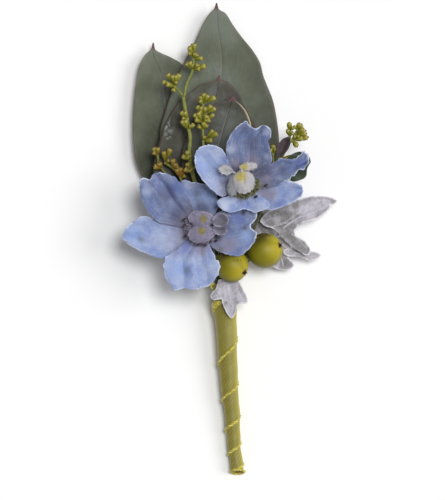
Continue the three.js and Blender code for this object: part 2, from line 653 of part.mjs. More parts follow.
const SEPALS_RIGHT = [
  {
    left: [[2, 18.4], [-0.4, 22.4], [-1.3, 27.6], [-0.8, 30], [0.5, 32.5], [2.4, 34.8]],
    tip: [[4, 35.8], [5, 36.4], [6.4, 34.7], [7.9, 34], [9.2, 34.8], [10.8, 35.2], [12.4, 34]],
    right: [[6, 18.6], [10.6, 20.6], [12.8, 23.8], [12.7, 26], [12.1, 28.8], [11.7, 30.2],
      [12.8, 31.8]],
    lift: 1.2, cup: 2.1, ruffle: 0.4, lap: -0.1,
  },
  {
    left: [[2.2, 15.8], [-2.5, 13], [-5.5, 15.1], [-7.8, 17.3], [-9.8, 20.1]],
    tip: [[-10.8, 22.6], [-10.9, 24.9], [-10.3, 27.2], [-8.8, 28.5], [-6.5, 29], [-4.3, 28.7]],
    right: [[2.8, 19], [0.4, 22], [-1.2, 25.6], [-2.5, 27.7]],
    lift: 0.6, cup: 1.2, ruffle: 0.15, lap: 0.5,
  },
  {
    left: [[6, 19.2], [9.6, 21.6], [12.9, 23.4], [15.9, 24.7], [19.2, 24.3], [21, 25.6]],
    tip: [[22.9, 27.3], [24.2, 25.6], [24.1, 23.3]],
    right: [[6.6, 16.6], [12.4, 16], [14.9, 16.9], [17.9, 18.2], [19.9, 19.6], [21.2, 21.2],
      [22.9, 21.6]],
    lift: 1.6, cup: 2.2, ruffle: 0.35, lap: 0.5,
  },
  {
    left: [[6.6, 17.4], [12.4, 17], [17.4, 17.7], [20.4, 17.3]],
    tip: [[22.1, 16.4], [22.6, 15], [22.1, 13.5]],
    right: [[5.4, 14.8], [9, 10], [12.4, 8.9], [16.2, 9.9], [18.7, 11], [20.9, 12.2]],
    lift: 0.4, cup: 1.3, ruffle: 0.25, lap: -0.4,
  },
  {
    left: [[6, 15.8], [9.4, 13.4]],
    tip: [[12.4, 11.3], [12, 9.8], [9.9, 8.8], [7.9, 8.1], [5.4, 8.9], [4.1, 9.3], [2.6, 8.6],
      [0.2, 8.1], [-2.2, 8.8], [-3.7, 10.2], [-4.2, 11.6]],
    right: [[2.2, 15.8], [0.2, 13.6], [-2.4, 12.7]],
    lift: 0.3, cup: 0.5, ruffle: 0.3, lap: 0.5,
  },
];

function sepal(spec, hub) {
  const height = (x, y, u, v) => {
    const side = 2 * v - 1;
    const rise = spec.lift * u * u + spec.lap * Math.min(1, 3 * u);
    const ripple = spec.ruffle * u ** 3 * Math.cos(3 * Math.PI * side);
    return hub[2] + rise + spec.cup * side * side * Math.sin(Math.PI * Math.min(u, 0.8)) + ripple;
  };
  return blade({ ...spec, height });
}

// The sepals grow together in a thick round disc.
function hubDisc(hub) {
  const half = HUB_THICK / 2;
  const flat = 0.7 * HUB_RADIUS;
  const profile = [[0, -half], [flat, -half], [HUB_RADIUS, 0], [flat, half], [0, half]];
  return turned(profile, hub, [0, 0, 1], 10);
}

// The spur is a hollow horn in life; it grows from the hub's back and curves away over the leaves.
function spurOf([x, y, z], [dx, dy]) {
  const reach = Math.hypot(dx, dy);
  const out = (distance, drop) => [x + (dx * distance) / reach, y + (dy * distance) / reach, z - drop];
  const path = [out(2.4, 0), out(2.8, 1.4), out(reach, 2.2)];
  return stalk(path, (t) => lerp(...SPUR_RADII, t), { sides: 6, steps: 5 });
}

function floretSepals(sepals, hub, spur) {
  return fuse([hubDisc(hub), ...sepals.map((spec) => sepal(spec, hub)), spurOf(hub, spur)]);
}

// The pedicel widens into a small receptacle just under the sepals.
function floretStalk(place, hub, bends) {
  const seat = hub[2] - HUB_THICK / 2 - CLEARANCE;
  const cup = turned(
    [[0, -1.4], [0.5, -1.4], [1.1, 0], [0, 0]],
    [hub[0], hub[1], seat],
    [0, 0, 1],
    8,
  );
  const path = [...fromCollar(place), ...bends, [hub[0], hub[1], seat - 1.1]];
  return stalk(path, 0.5, { sides: 6, steps: 4 * bends.length + 6 }).add(cup);
}

// A small inner petal, domed, on a claw that rises from the floret's middle.
function innerPetal({ claw, centre, size, dome, turn = 0 }) {
  const [cx, cy, cz] = centre;
  const [length, width] = size;
  const cos = Math.cos(turn);
  const sin = Math.sin(turn);
  const place = (along, across) => [
    cx + along * cos - across * sin,
    cy + along * sin + across * cos,
  ];
  const half = length / 2;
  const sheet = blade({
    left: [place(-half, width * 0.18), place(-half * 0.4, width * 0.44)],
    tip: [place(half * 0.5, width * 0.46), place(half, width * 0.16), place(half, -width * 0.16),
      place(half * 0.5, -width * 0.46)],
    right: [place(-half, -width * 0.18), place(-half * 0.4, -width * 0.44)],
    height: (x, y, u, v) => cz + dome * (Math.sin(Math.PI * u) - (2 * v - 1) ** 2),
    rows: 4,
    cols: 4,
  });
  const [rx, ry] = place(-half * 0.75, 0);
  return sheet.add(stalk([claw, [rx, ry, cz + dome * 0.2]], 0.42, { sides: 5, steps: 2 }));
}

const ANTHER_PROFILE = [[0, -0.6], [ANTHER_RADIUS, -0.35], [ANTHER_RADIUS, 0.35], [0, 0.6]];

// Filaments that bend outwards from one pad, each with its anther.
function stamens(foot, anthers) {
  const pad = stalk([foot, [foot[0], foot[1], foot[2] + 0.8]], 0.85, { sides: 6, steps: 1 });
  const parts = [pad];
  for (const [x, y, z] of anthers) {
    const knee = [lerp(foot[0], x, 0.45), lerp(foot[1], y, 0.45), lerp(foot[2], z, 0.75)];
    const from = [foot[0], foot[1], foot[2] + 0.5];
    parts.push(stalk([from, knee, [x, y, z]], FILAMENT_RADIUS, { sides: 4, steps: 2 }));
    parts.push(turned(ANTHER_PROFILE, [x, y, z], [0.5, 0.4, 1], 4));
  }
  return fuse(parts);
}

const PAD_RISE = 0.2; // the sepals climb this far above the hub around the inner petals
const PAD_HEIGHT = 1.4;
const CLAW_HEIGHT = 0.7; // the claws leave the pad this far up
const above = (hub) => hub[2] + HUB_THICK / 2 + CLEARANCE + PAD_RISE;

// The inner petals: the round pad they grow from and, for each, its centre with how far that lies
// above or below INNER_RISE, its length and width, its dome (below zero a cup) and the way it points
// in half turns.
const BEE_LEFT = {
  pad: [-7.4, 4.2],
  radius: 1.5,
  petals: [
    { centre: [-8.5, 6.2, 0], size: [7, 4.7], dome: 0.7, turn: 0.95 },
    { centre: [-8.7, 2, 0], size: [7.2, 4.9], dome: 0.7, turn: -0.95 },
    { centre: [-2.7, 5.9, 0], size: [4.6, 4], dome: -0.8, turn: 0.03 },
    { centre: [-2.9, 2.5, 0], size: [3.9, 2.9], dome: -0.7, turn: -0.03 },
  ],
};
const BEE_RIGHT = {
  pad: [3.6, 19.2],
  radius: 1.4,
  petals: [
    { centre: [4.2, 17.6, 0], size: [7.1, 7.1], dome: 1, turn: -0.5 },
    { centre: [5.8, 22.2, 0.2], size: [6, 2.5], dome: 0.4, turn: 0.03 },
    { centre: [-1.7, 21.3, -1], size: [3.6, 2.9], dome: -0.6, turn: 0.92 },
    { centre: [0.2, 16.8, -1.1], size: [5.6, 3.6], dome: -0.5, turn: -0.68 },
  ],
};

function bee(hub, { pad: [x, y], radius, petals }) {
  const foot = above(hub);
  const claw = [x, y, foot + CLAW_HEIGHT];
  const pad = stalk([[x, y, foot], [x, y, foot + PAD_HEIGHT]], radius, { sides: 8, steps: 1 });
  const sheets = petals.map(({ centre: [cx, cy, rise], size, dome, turn }) =>
    innerPetal({ claw, centre: [cx, cy, foot + INNER_RISE + rise], size, dome, turn: turn * Math.PI }));
  return fuse([pad, ...sheets]);
}

// Where each floret's stamens stand, and their anthers: [x, y, height above the pad's foot].
const STAMENS_LEFT = {
  pad: [-11.1, 3.4, 0],
  anthers: [[-14.3, 6, 1.6], [-14, 4.3, 1.9], [-13.9, 0.9, 1.7], [-12.6, 0.3, 1.5], [-9.9, -1.7, 1.6],
    [-7.6, -1.9, 1.7]],
};
const STAMENS_RIGHT = {
  pad: [6.4, 16.6, 0.15],
  anthers: [[8.6, 17.8, 1.7], [8.6, 15.2, 1.2], [8, 13, 1.3], [11, 16.5, 2.1], [5.2, 12.7, 1.3],
    [1.9, 13.5, 1.4]],
};

function stamensOf(hub, { pad: [x, y, lift], anthers }) {
  const foot = above(hub);
  return stamens([x, y, foot + lift], anthers.map(([ax, ay, rise]) => [ax, ay, foot + rise]));
}

const SEPAL_BLUE = 0x9badd8;
const INNER_PALE = 0xcac4cf;
const STAMEN_GREEN = 0x5a5f3a;
const STALK_GREEN = 0x7c8a3c;

const leftBends = [[-5.7, -9, 7.4], [-8.8, -1, 11]];
const rightBends = [[0.4, -9, 4.9], [2.4, -3, 6.2], [3.8, 5, 11], [4.2, 13, 16]];
piece("delphinium_left_sepals", floretSepals(SEPALS_LEFT, FLORET_LEFT.hub, [4.6, 5]), SEPAL_BLUE);
piece("delphinium_left_petals", bee(FLORET_LEFT.hub, BEE_LEFT), INNER_PALE);
piece("delphinium_left_stamens", stamensOf(FLORET_LEFT.hub, STAMENS_LEFT), STAMEN_GREEN);
piece("delphinium_left_stalk", floretStalk("floretLeft", FLORET_LEFT.hub, leftBends), STALK_GREEN);
piece("delphinium_right_sepals", floretSepals(SEPALS_RIGHT, FLORET_RIGHT.hub, [4, 6]), SEPAL_BLUE);
piece("delphinium_right_petals", bee(FLORET_RIGHT.hub, BEE_RIGHT), 0xe2dccb);
piece("delphinium_right_stamens", stamensOf(FLORET_RIGHT.hub, STAMENS_RIGHT), STAMEN_GREEN);
piece("delphinium_right_stalk", floretStalk("floretRight", FLORET_RIGHT.hub, rightBends), STALK_GREEN);

// ---------------------------------------------------------------- berries
function berry({ centre, radius, tip }) {
  const profile = [];
  const steps = 9;
  for (let i = 0; i <= steps; i++) {
    const angle = -Math.PI / 2 + (Math.PI * i) / steps;
    const r = Math.abs(Math.cos(angle)) < 1e-9 ? 0 : radius * Math.cos(angle);
    profile.push([r, radius * Math.sin(angle)]);
  }
  const style = [[0, radius - 0.5], [0.62, radius - 0.5], [0.5, radius + 0.35], [0, radius + 0.7]];
  return turned(profile, centre, tip, 14).add(turned(style, centre, tip, 6));
}

// Where a berry's stalk meets it, just clear of its skin.
function berryFoot({ centre, radius, tip }, out = 0) {
  const axis = vector(tip).normalize();
  return vector(centre).addScaledVector(axis, -(radius + CLEARANCE + out)).toArray();
}

function calyx(spec) {
  const axis = vector(spec.tip).normalize();
  const foot = berryFoot(spec);
  const profile = [[0, -0.9], [0.6, -0.9], [1.5, -0.25], [1.5, 0], [0, 0]];
  return turned(profile, foot, axis.toArray(), 8);
}

function berryStalk() {
  const first = [...fromCollar("berries"), [-3.3, -11, 6.9], [-4.3, -7.6, 7.7]];
  const fork = [-2.7, -12.2, 6.5];
  return fuse([
    stalk([...first, berryFoot(BERRY_FRONT, 0.4)], TWIG_RADIUS, { sides: 5, steps: 10 }),
    stalk(
      [fork, [-1, -10.4, 6.7], [1.6, -9, 6.3], [4.2, -7.2, 6.9], berryFoot(BERRY_SIDE, 0.4)],
      SIDE_TWIG_RADIUS,
      { sides: 5, steps: 10 },
    ),
    calyx(BERRY_FRONT),
    calyx(BERRY_SIDE),
  ]);
}

piece("berry_front", berry(BERRY_FRONT), 0xa8a024, 0.35);
piece("berry_side", berry(BERRY_SIDE), 0xa29a22, 0.35);
piece("berry_stalk", berryStalk(), 0x8c9038, 0.6);

// ---------------------------------------------------------------- dusty miller leaves
// Each leaf is a set of lobes that grow together along a raised midrib.
function lobedLeaf(lobes, ribs) {
  return fuse([...lobes.map((lobe) => blade({ rows: 4, cols: 4, ...lobe })), ...ribs]);
}

function dustyRight() {
  const lobes = [
    {
      left: [[12.6, 5.4], [16.7, 10.3], [22.1, 13], [24.8, 13.5], [27.5, 13.6], [30.3, 13.4]],
      tip: [[32.5, 13.2], [33.6, 12.2], [32.8, 11.3]],
      right: [[16.4, 1.2], [20.4, 3.3], [22.2, 4.8], [25.2, 5.8], [28.2, 6.9], [30.3, 8.8],
        [31.6, 10.7]],
      height: (x, y, u, v) => 6.4 - 1.4 * u + 1.2 * Math.abs(2 * v - 1) + 0.3 * Math.sin(7 * u),
      rows: 7,
      cols: 4,
    },
    {
      left: [[15.8, 2.2], [14.3, 1.5], [11.9, 2.6]],
      tip: [[9.9, 4.4], [9.3, 5.6], [10.2, 7]],
      right: [[15.6, 5.2], [14, 8], [12.2, 8.6]],
      height: (x, y, u, v) => 6.6 + 0.8 * u + 0.6 * (2 * v - 1) ** 2,
    },
    {
      left: [[18, 4], [20.4, 2.2], [21.1, 0.6], [22.8, -1], [24.1, -2.6]],
      tip: [[24.7, -4], [23.9, -4.8]],
      right: [[14.8, 1.2], [17.2, -1.4], [19.4, -3.4], [21.9, -4.8]],
      height: (x, y, u, v) => 5.9 - 0.9 * u + 0.7 * Math.abs(2 * v - 1),
      rows: 5,
    },
    {
      left: [[18, -2.4], [22.4, -3.6], [24.7, -4.4], [26.2, -3.9], [27.9, -4.6]],
      tip: [[28.5, -5.2], [28.2, -5.9]],
      right: [[16.4, -4], [20.1, -5.4], [22.1, -5.4], [23.8, -6.2], [25.4, -7], [27.2, -6.5]],
      height: (x, y, u, v) => 4.8 - 0.5 * u + 0.5 * Math.abs(2 * v - 1),
      rows: 5,
    },
    {
      left: [[17.6, -1.8], [17.8, -5], [18.4, -6.4], [19.6, -7.8]],
      tip: [[19.7, -9], [18.4, -9.9], [16, -9.8]],
      right: [[14.2, -1], [12.6, -4.5], [12.6, -7], [13.6, -8.6]],
      height: (x, y, u, v) => 3.6 + 0.3 * u + 0.5 * (2 * v - 1) ** 2,
    },
  ];
  const ribs = [
    stalk(
      [...fromCollar("dustyRight"), [3.6, -9.4, 3.2], [9, -4, 3], [13.6, -0.6, 3.8], [16.2, 3, 6],
        [22, 7, 6], [28, 9.8, 5.4]],
      (t) => lerp(0.45, 0.38, t),
      { sides: 6, steps: 18 },
    ),
    stalk(
      [[14.4, 0.2, 4.4], [17, -2.4, 4.4], [20.4, -4.2, 4.6], [25, -5, 4.4]],
      TWIG_RADIUS,
      { sides: 5, steps: 5 },
    ),
    stalk([[14, -0.4, 4], [15.6, -4, 3.7], [16.6, -8, 3.8]], TWIG_RADIUS, { sides: 5, steps: 4 }),
  ];
  return lobedLeaf(lobes, ribs);
}

function dustyLow() {
  const lie = (y) => handleAt(y, 2) + handleAt(y, 3) + RIBBON_STEP + RIBBON_BEAD + CLEARANCE + 0.55;
  const droop = (x, y) => lie(y) - 0.05 * Math.max(0, Math.abs(x - handleAt(y, 1)) - 2) ** 2;
  const lobes = [
    {
      left: [[2.2, -13.8], [3.4, -16], [3, -19], [2.1, -21.8]],
      tip: [[1.3, -24], [0.4, -24.9], [-0.6, -24.3]],
      right: [[-3.4, -13.8], [-4, -16], [-2.9, -19.5], [-1.6, -22.6]],
      height: droop,
      rows: 6,
      cols: 4,
    },
    {
      left: [[-1.6, -18.6], [-3.4, -18.9]],
      tip: [[-5.4, -19], [-6.1, -17.8], [-5.8, -16.6]],
      right: [[-1.6, -15], [-4.2, -15.6]],
      height: (x, y, u) => droop(x, y) + 0.25 - 0.5 * u,
      rows: 3,
      cols: 3,
    },
    {
      left: [[1.4, -15.6], [3.7, -15.4], [4.5, -17.3]],
      tip: [[5.5, -18.9], [5.2, -20.1], [4, -20.3]],
      right: [[1.4, -19.4], [2.6, -20.1]],
      height: (x, y, u) => droop(x, y) + 0.3 - 0.7 * u,
      rows: 3,
      cols: 3,
    },
  ];
  const [foot, rim] = fromCollar("dustyLow");
  const ribs = [
    stalk(
      [foot, rim, [-1.9, -13.1, 7.8], [-1.5, -13, 9.2], [-1.2, -14.4, lie(-14.4) + 0.05],
        [-0.4, -18, lie(-18) + 0.15], [0.2, -22, lie(-22) + 0.1]],
      (t) => lerp(0.45, 0.32, t),
      { sides: 6, steps: 20 },
    ),
  ];
  return lobedLeaf(lobes, ribs);
}

piece("dusty_miller_right", dustyRight(), 0xb3b0b5, 0.9);
piece("dusty_miller_low", dustyLow(), 0xc2bfc8, 0.9);

export default scene;
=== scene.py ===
"""A boutonniere lying on a pale table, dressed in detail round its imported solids.

Shapes are worked out in millimetres and made in metres. +Y runs along the stems to the leaf tips.
"""

import math

import bpy
import numpy as np
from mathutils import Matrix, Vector
from mathutils.geometry import delaunay_2d_cdt


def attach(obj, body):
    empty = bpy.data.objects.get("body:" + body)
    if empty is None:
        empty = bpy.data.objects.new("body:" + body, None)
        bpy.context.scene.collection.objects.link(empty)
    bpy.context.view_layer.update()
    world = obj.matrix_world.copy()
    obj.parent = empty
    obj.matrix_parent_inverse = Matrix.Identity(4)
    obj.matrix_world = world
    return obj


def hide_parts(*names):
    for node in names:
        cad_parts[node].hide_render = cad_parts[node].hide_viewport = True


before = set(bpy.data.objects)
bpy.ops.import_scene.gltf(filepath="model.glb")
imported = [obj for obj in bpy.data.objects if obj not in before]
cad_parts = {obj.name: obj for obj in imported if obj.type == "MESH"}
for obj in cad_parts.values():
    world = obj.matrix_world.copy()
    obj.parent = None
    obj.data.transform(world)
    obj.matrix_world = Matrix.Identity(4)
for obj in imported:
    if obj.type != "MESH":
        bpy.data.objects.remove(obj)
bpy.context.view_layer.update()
MM = 0.001
UP = np.array([0.0, 0.0, 1.0])
TAU = 2 * math.pi
OFF_RIM = 2.0  # the edge value of stalks and hubs, which have no rim
RIM_SHARE = 0.3  # how thick a sheet is at its rim, as a share of its middle
LEAF_THICK, SMALL_LEAF_THICK, SEPAL_THICK, PETAL_THICK = 0.34, 0.35, 0.32, 0.26
FELT_THICK, RIBBON_THICK = 0.42, 0.14


# ---------------------------------------------------------------- curves and grids
def vec(point):
    return np.array([*point, 0.0][:3], float)


def gap(a, b):
    return np.linalg.norm(a - b, axis=-1)


def unit(a):
    return a / np.maximum(np.linalg.norm(a, axis=-1, keepdims=True), 1e-12)


def smooth(x, low, high):
    t = np.clip((x - low) / (high - low), 0, 1)
    return t * t * (3 - 2 * t)


def run(line):
    """The length along a line up to each of its points."""
    return np.concatenate([[0], np.cumsum(gap(line[1:], line[:-1]))])


def resample(line, count):
    along = run(line)
    spots = np.linspace(0, along[-1], count)
    return np.stack([np.interp(spots, along, column) for column in line.T], 1)


def spline(points, count):
    """Points evenly spaced along the centripetal Catmull-Rom curve through the given ones."""
    p = np.array([vec(q) for q in points])
    p = np.vstack([2 * p[0] - p[1], p, 2 * p[-1] - p[-2]])
    t = np.linspace(0, 1, 16, endpoint=False)[:, None]
    dense = []
    for a, b, c, d in zip(p, p[1:], p[2:], p[3:]):
        k = [max(np.linalg.norm(y - x), 1e-6) ** 0.5 for x, y in ((a, b), (b, c), (c, d))]
        m1 = ((b - a) / k[0] - (c - a) / (k[0] + k[1]) + (c - b) / k[1]) * k[1]
        m2 = ((c - b) / k[1] - (d - b) / (k[1] + k[2]) + (d - c) / k[2]) * k[1]
        dense.append((2 * t**3 - 3 * t**2 + 1) * b + (t**3 - 2 * t**2 + t) * m1
                     + (3 * t**2 - 2 * t**3) * c + (t**3 - t**2) * m2)
    return resample(np.vstack([*dense, p[-2:-1]]), count)


def patch(left, tip, right, rows, cols):
    """A grid that fills an outline in plan from base to tip, with its u (0..1) and v (-1..1)."""
    left, tip, right = (np.reshape(side, (-1, 2)) for side in (left, tip, right))
    l = spline([*left, tip[0]], rows + 1)[:, None]
    r = spline([*right, tip[-1]], rows + 1)[:, None]
    end = spline(tip, cols + 1)[None]
    u = np.linspace(0, 1, rows + 1)[:, None, None]
    v = np.linspace(0, 1, cols + 1)[:, None]
    base = l[0] * (1 - v) + r[0] * v
    corners = base * (1 - u) + (l[-1] * (1 - v) + r[-1] * v) * u
    grid = l * (1 - v) + r * v + base * (1 - u) + end * u - corners
    return grid, u[..., 0], np.linspace(-1, 1, cols + 1)[None]


def crumple(x, y, size, seed):
    """A soft random relief of about -1 to 1, whose bumps are about size across."""
    rng = np.random.default_rng(seed)
    total = np.zeros_like(np.asarray(x, float))
    for _ in range(9):
        angle = rng.uniform(0, math.pi)
        wave = TAU / size * rng.uniform(0.45, 1.1)
        total += np.sin(wave * (x * math.cos(angle) + y * math.sin(angle)) + rng.uniform(0, 6.28))
    return total / 4.5


def blots(x, y, spots, size, seed, ragged, outer, inner):
    """Soft spots in plan, from a row of x, y and radius. The last three are shares of a radius."""
    mark = np.zeros_like(x)
    for cx, cy, radius in np.reshape(spots, (-1, 3)):
        far = np.hypot(x - cx, y - cy) + ragged * radius * crumple(x, y, size, seed)
        mark = np.maximum(mark, smooth(far, outer * radius, inner * radius))
    return mark


# ---------------------------------------------------------------- meshes
class Body:
    """One mesh in the making: parts with named values at their points."""

    def __init__(self):
        self.points, self.faces, self.values, self.paint = [], [], [], []
        self.count = 0

    def add(self, points, faces, paint=0, **values):
        points = np.asarray(points, float).reshape(-1, 3)
        self.values.append((self.count, len(points), values))
        self.points.append(points)
        self.faces += [[int(i) + self.count for i in f] for f in faces]
        self.paint += [paint] * len(faces)
        self.count += len(points)

    def build(self, name, materials, replaces=()):
        mesh = bpy.data.meshes.new(name)
        mesh.from_pydata((np.vstack(self.points) * MM).tolist(), [], self.faces)
        mesh.polygons.foreach_set("use_smooth", [True] * len(mesh.polygons))
        mesh.polygons.foreach_set("material_index", self.paint)
        for key in sorted({k for _, _, values in self.values for k in values}):
            data = np.zeros(self.count, np.float32)
            for start, size, values in self.values:
                data[start : start + size] = np.ravel(values.get(key, 0))
            mesh.attributes.new(key, "FLOAT", "POINT").data.foreach_set("value", data)
        for material in materials:
            mesh.materials.append(material)
        mesh.validate()
        mesh.update()
        piece = bpy.data.objects.new(name, mesh)
        bpy.context.scene.collection.objects.link(piece)
        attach(piece, "root")
        if replaces:
            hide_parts(*replaces)
        return piece


def rim_distance(grid):
    """How far each point of a grid lies from the grid's left, right and far edges."""
    rim = np.vstack([grid[:, 0], grid[-1], grid[:, -1]])
    return np.array([gap(rim, p).min() for p in grid.reshape(-1, 3)]).reshape(grid.shape[:2])


def sheet(body, grid, thick, edge=None, **values):
    """A thin closed sheet round a grid of points. It thins towards its rim."""
    normal = unit(np.cross(np.gradient(grid, axis=1), np.gradient(grid, axis=0)))
    turned = normal[..., 2].mean() < 0
    if turned:
        normal = -normal
    edge = rim_distance(grid) if edge is None else edge
    half = thick / 2 * (RIM_SHARE + (1 - RIM_SHARE) * smooth(edge, 0, 2 * thick))[..., None]
    size = edge.size
    at = np.arange(size).reshape(edge.shape)
    quads = np.stack([at[:-1, :-1], at[:-1, 1:], at[1:, 1:], at[1:, :-1]], -1).reshape(-1, 4)
    loop = [*at[0, :-1], *at[:-1, -1], *at[-1, :0:-1], *at[:0:-1, 0]]
    wall = [[b, a, a + size, b + size] for a, b in zip(loop, loop[1:] + loop[:1])]
    faces = [*quads.tolist(), *(quads[:, ::-1] + size).tolist(), *wall]
    if turned:
        faces = [f[::-1] for f in faces]
    rows, cols = edge.shape
    marks = {"along": np.linspace(0, 1, rows)[:, None], "across": np.linspace(-1, 1, cols)}
    marks |= {"edge": edge, **values}
    twice = {k: np.tile(np.broadcast_to(w, edge.shape).ravel(), 2) for k, w in marks.items()}
    body.add([grid + normal * half, grid - normal * half], faces, **twice)


def nearest(points, spots):
    """The distance from each point to the nearest of the spots."""
    return gap(points[:, None], spots).min(axis=1)


def cutout(body, outline, height, ribs, shaded_hollows, seed, plain=(), glow=(), width=0.34, step=0.36):
    """A thin closed sheet that fills a closed outline in plan and sinks along its ribs."""
    outline = np.reshape(outline, (-1, 2))
    rim = spline([*outline, outline[0]], 14 * len(outline))[:-1, :2]
    rim = rim + 0.08 * np.stack([crumple(*rim.T, 1.4, seed + i) for i in (0, 1)], 1)
    ends = np.roll(rim, -1, axis=0)
    xs, ys = np.meshgrid(*(np.arange(c.min(), c.max(), step) for c in rim.T))
    xs[::2] += step / 2
    cells = np.stack([xs.ravel(), ys.ravel()], 1)
    above = rim[:, 1] > cells[:, None, 1]
    slant = (ends - rim)[:, 0] / np.where(ends[:, 1] == rim[:, 1], 1e-9, (ends - rim)[:, 1])
    right = cells[:, None, 0] < rim[:, 0] + (cells[:, None, 1] - rim[:, 1]) * slant
    inside = ((above != np.roll(above, -1, axis=1)) & right).sum(axis=1) % 2 == 1
    clear = nearest(cells, rim) > 0.6 * step
    spots = [Vector(q) for q in np.vstack([rim, cells[inside & clear]]).tolist()]
    loop = [(i, (i + 1) % len(rim)) for i in range(len(rim))]
    flat, _, triangles, *_ = delaunay_2d_cdt(spots, loop, [], 1, 1e-6)
    flat = np.array([[q.x, q.y] for q in flat])
    x, y = flat.T
    edge = nearest(flat, rim)
    far = nearest(flat, np.vstack([spline(np.reshape(rib, (-1, 2)), 60)[:, :2] for rib in ribs]))
    z = height(x, y) + 0.2 * np.minimum(far, 3) + 0.12 * smooth(far, 0.5, 0)
    z = z + 0.14 * crumple(x, y, 3.4, seed) + 0.12 * crumple(x, y, 1.6, seed + 5)
    grid = np.stack([x, y, z + 0.3 * smooth(edge, 0.9, 0)], 1)
    corner = grid[np.array(triangles)]
    facing = np.cross(corner[:, 1] - corner[:, 0], corner[:, 2] - corner[:, 0])
    normal = np.zeros_like(grid)
    for i in range(3):
        np.add.at(normal, np.array(triangles)[:, i], facing)
    half = unit(normal) * (FELT_THICK / 2 * (0.4 + 0.6 * smooth(edge, 0, 0.8)))[:, None]
    used = {(a, b) for t in triangles for a, b in zip(t, [*t[1:], t[0]])}
    size = len(grid)
    wall = [[b, a, a + size, b + size] for a, b in used if (b, a) not in used]
    faces = [*triangles, *([i + size for i in t[::-1]] for t in triangles), *wall]
    marks = {"edge": edge, "rib": smooth(far, width, 0.2 * width)}
    # The hollow parts carry painted shade, the brightest spots painted light.
    for kind, spots in (("shade", shaded_hollows), ("plain", plain), ("glow", glow)):
        marks[kind] = blots(x, y, spots, 1.3, seed + 8, 0.28, 1.4, 0.3)
    body.add([grid + half, grid - half], faces, **{k: np.tile(v, 2) for k, v in marks.items()})


def circle(sides):
    return np.arange(sides) * TAU / sides


def around(side, other, angle):
    """Directions round an axis, or round the axis of each ring, from two that are square to it."""
    cos, sin = np.cos(angle)[:, None], np.sin(angle)[:, None]
    return side[..., None, :] * cos + other[..., None, :] * sin


def frames_along(line):
    """Two directions square to a line at each of its points, with no twist."""
    tangent = unit(np.gradient(line, axis=0))
    side = unit(np.cross(tangent[0], UP if abs(tangent[0][2]) < 0.9 else [1, 0, 0]))
    sides = []
    for t in tangent:
        side = unit(side - t * np.dot(side, t))
        sides.append(side)
    sides = np.array(sides)
    return sides, np.cross(tangent, sides)


def rings(body, grid, paint=0, **values):
    """A closed body through rings of points. A value is a number, one for each ring, or a grid."""
    at = np.arange(grid[..., 0].size).reshape(grid.shape[:2])
    nxt = np.roll(at, -1, axis=1)
    faces = np.stack([at[:-1], nxt[:-1], nxt[1:], at[1:]], -1).reshape(-1, 4).tolist()
    faces += [at[0, ::-1].tolist(), at[-1].tolist()]
    values = {k: np.expand_dims(v, 1) if np.ndim(v) == 1 else v for k, v in values.items()}
    body.add(grid, faces, paint, **{k: np.broadcast_to(v, at.shape) for k, v in values.items()})


def sweep(line, radii, sides):
    """Rings round a line, from a radius for each ring or for each of their points."""
    out = around(*frames_along(line), circle(sides))
    return line[:, None] + np.reshape(radii, (len(line), -1, 1)) * out


def tube(body, points, radius, sides, steps, paint=0, ridges=0.0, **values):
    """A round stalk along a curve. radius is a number or a function of 0..1 along it."""
    t = np.linspace(0, 1, steps + 1)
    r = np.broadcast_to(radius(t) if callable(radius) else radius, t.shape)[:, None]
    r = r * (1 + ridges * np.cos(3 * circle(sides)))
    rings(body, sweep(spline(points, steps + 1), r, sides), paint, **{"along": t, **values})


def lathe(body, profile, centre, axis, sides, shape=None, paint=0, **values):
    """A round body about an axis through centre. profile lists [radius, height], foot first."""
    axis = unit(vec(axis))
    side = unit(np.cross(axis, UP if abs(axis[2]) < 0.9 else [1.0, 0, 0]))
    profile = np.array(profile, float)
    t = np.linspace(0, 1, len(profile))
    r = np.maximum(profile[:, :1], 1e-3) * np.ones(sides)
    if shape is not None:
        r = r * shape(circle(sides), t[:, None])
    grid = vec(centre) + axis * profile[:, 1, None, None]
    grid = grid + r[..., None] * around(side, np.cross(axis, side), circle(sides))
    rings(body, grid, paint, **{"along": t, **values})


# ---------------------------------------------------------------- paints
def srgb(red, green, blue):
    c = np.array([red, green, blue]) / 255
    return (*np.where(c <= 0.04045, c / 12.92, ((c + 0.055) / 1.055) ** 2.4).tolist(), 1.0)


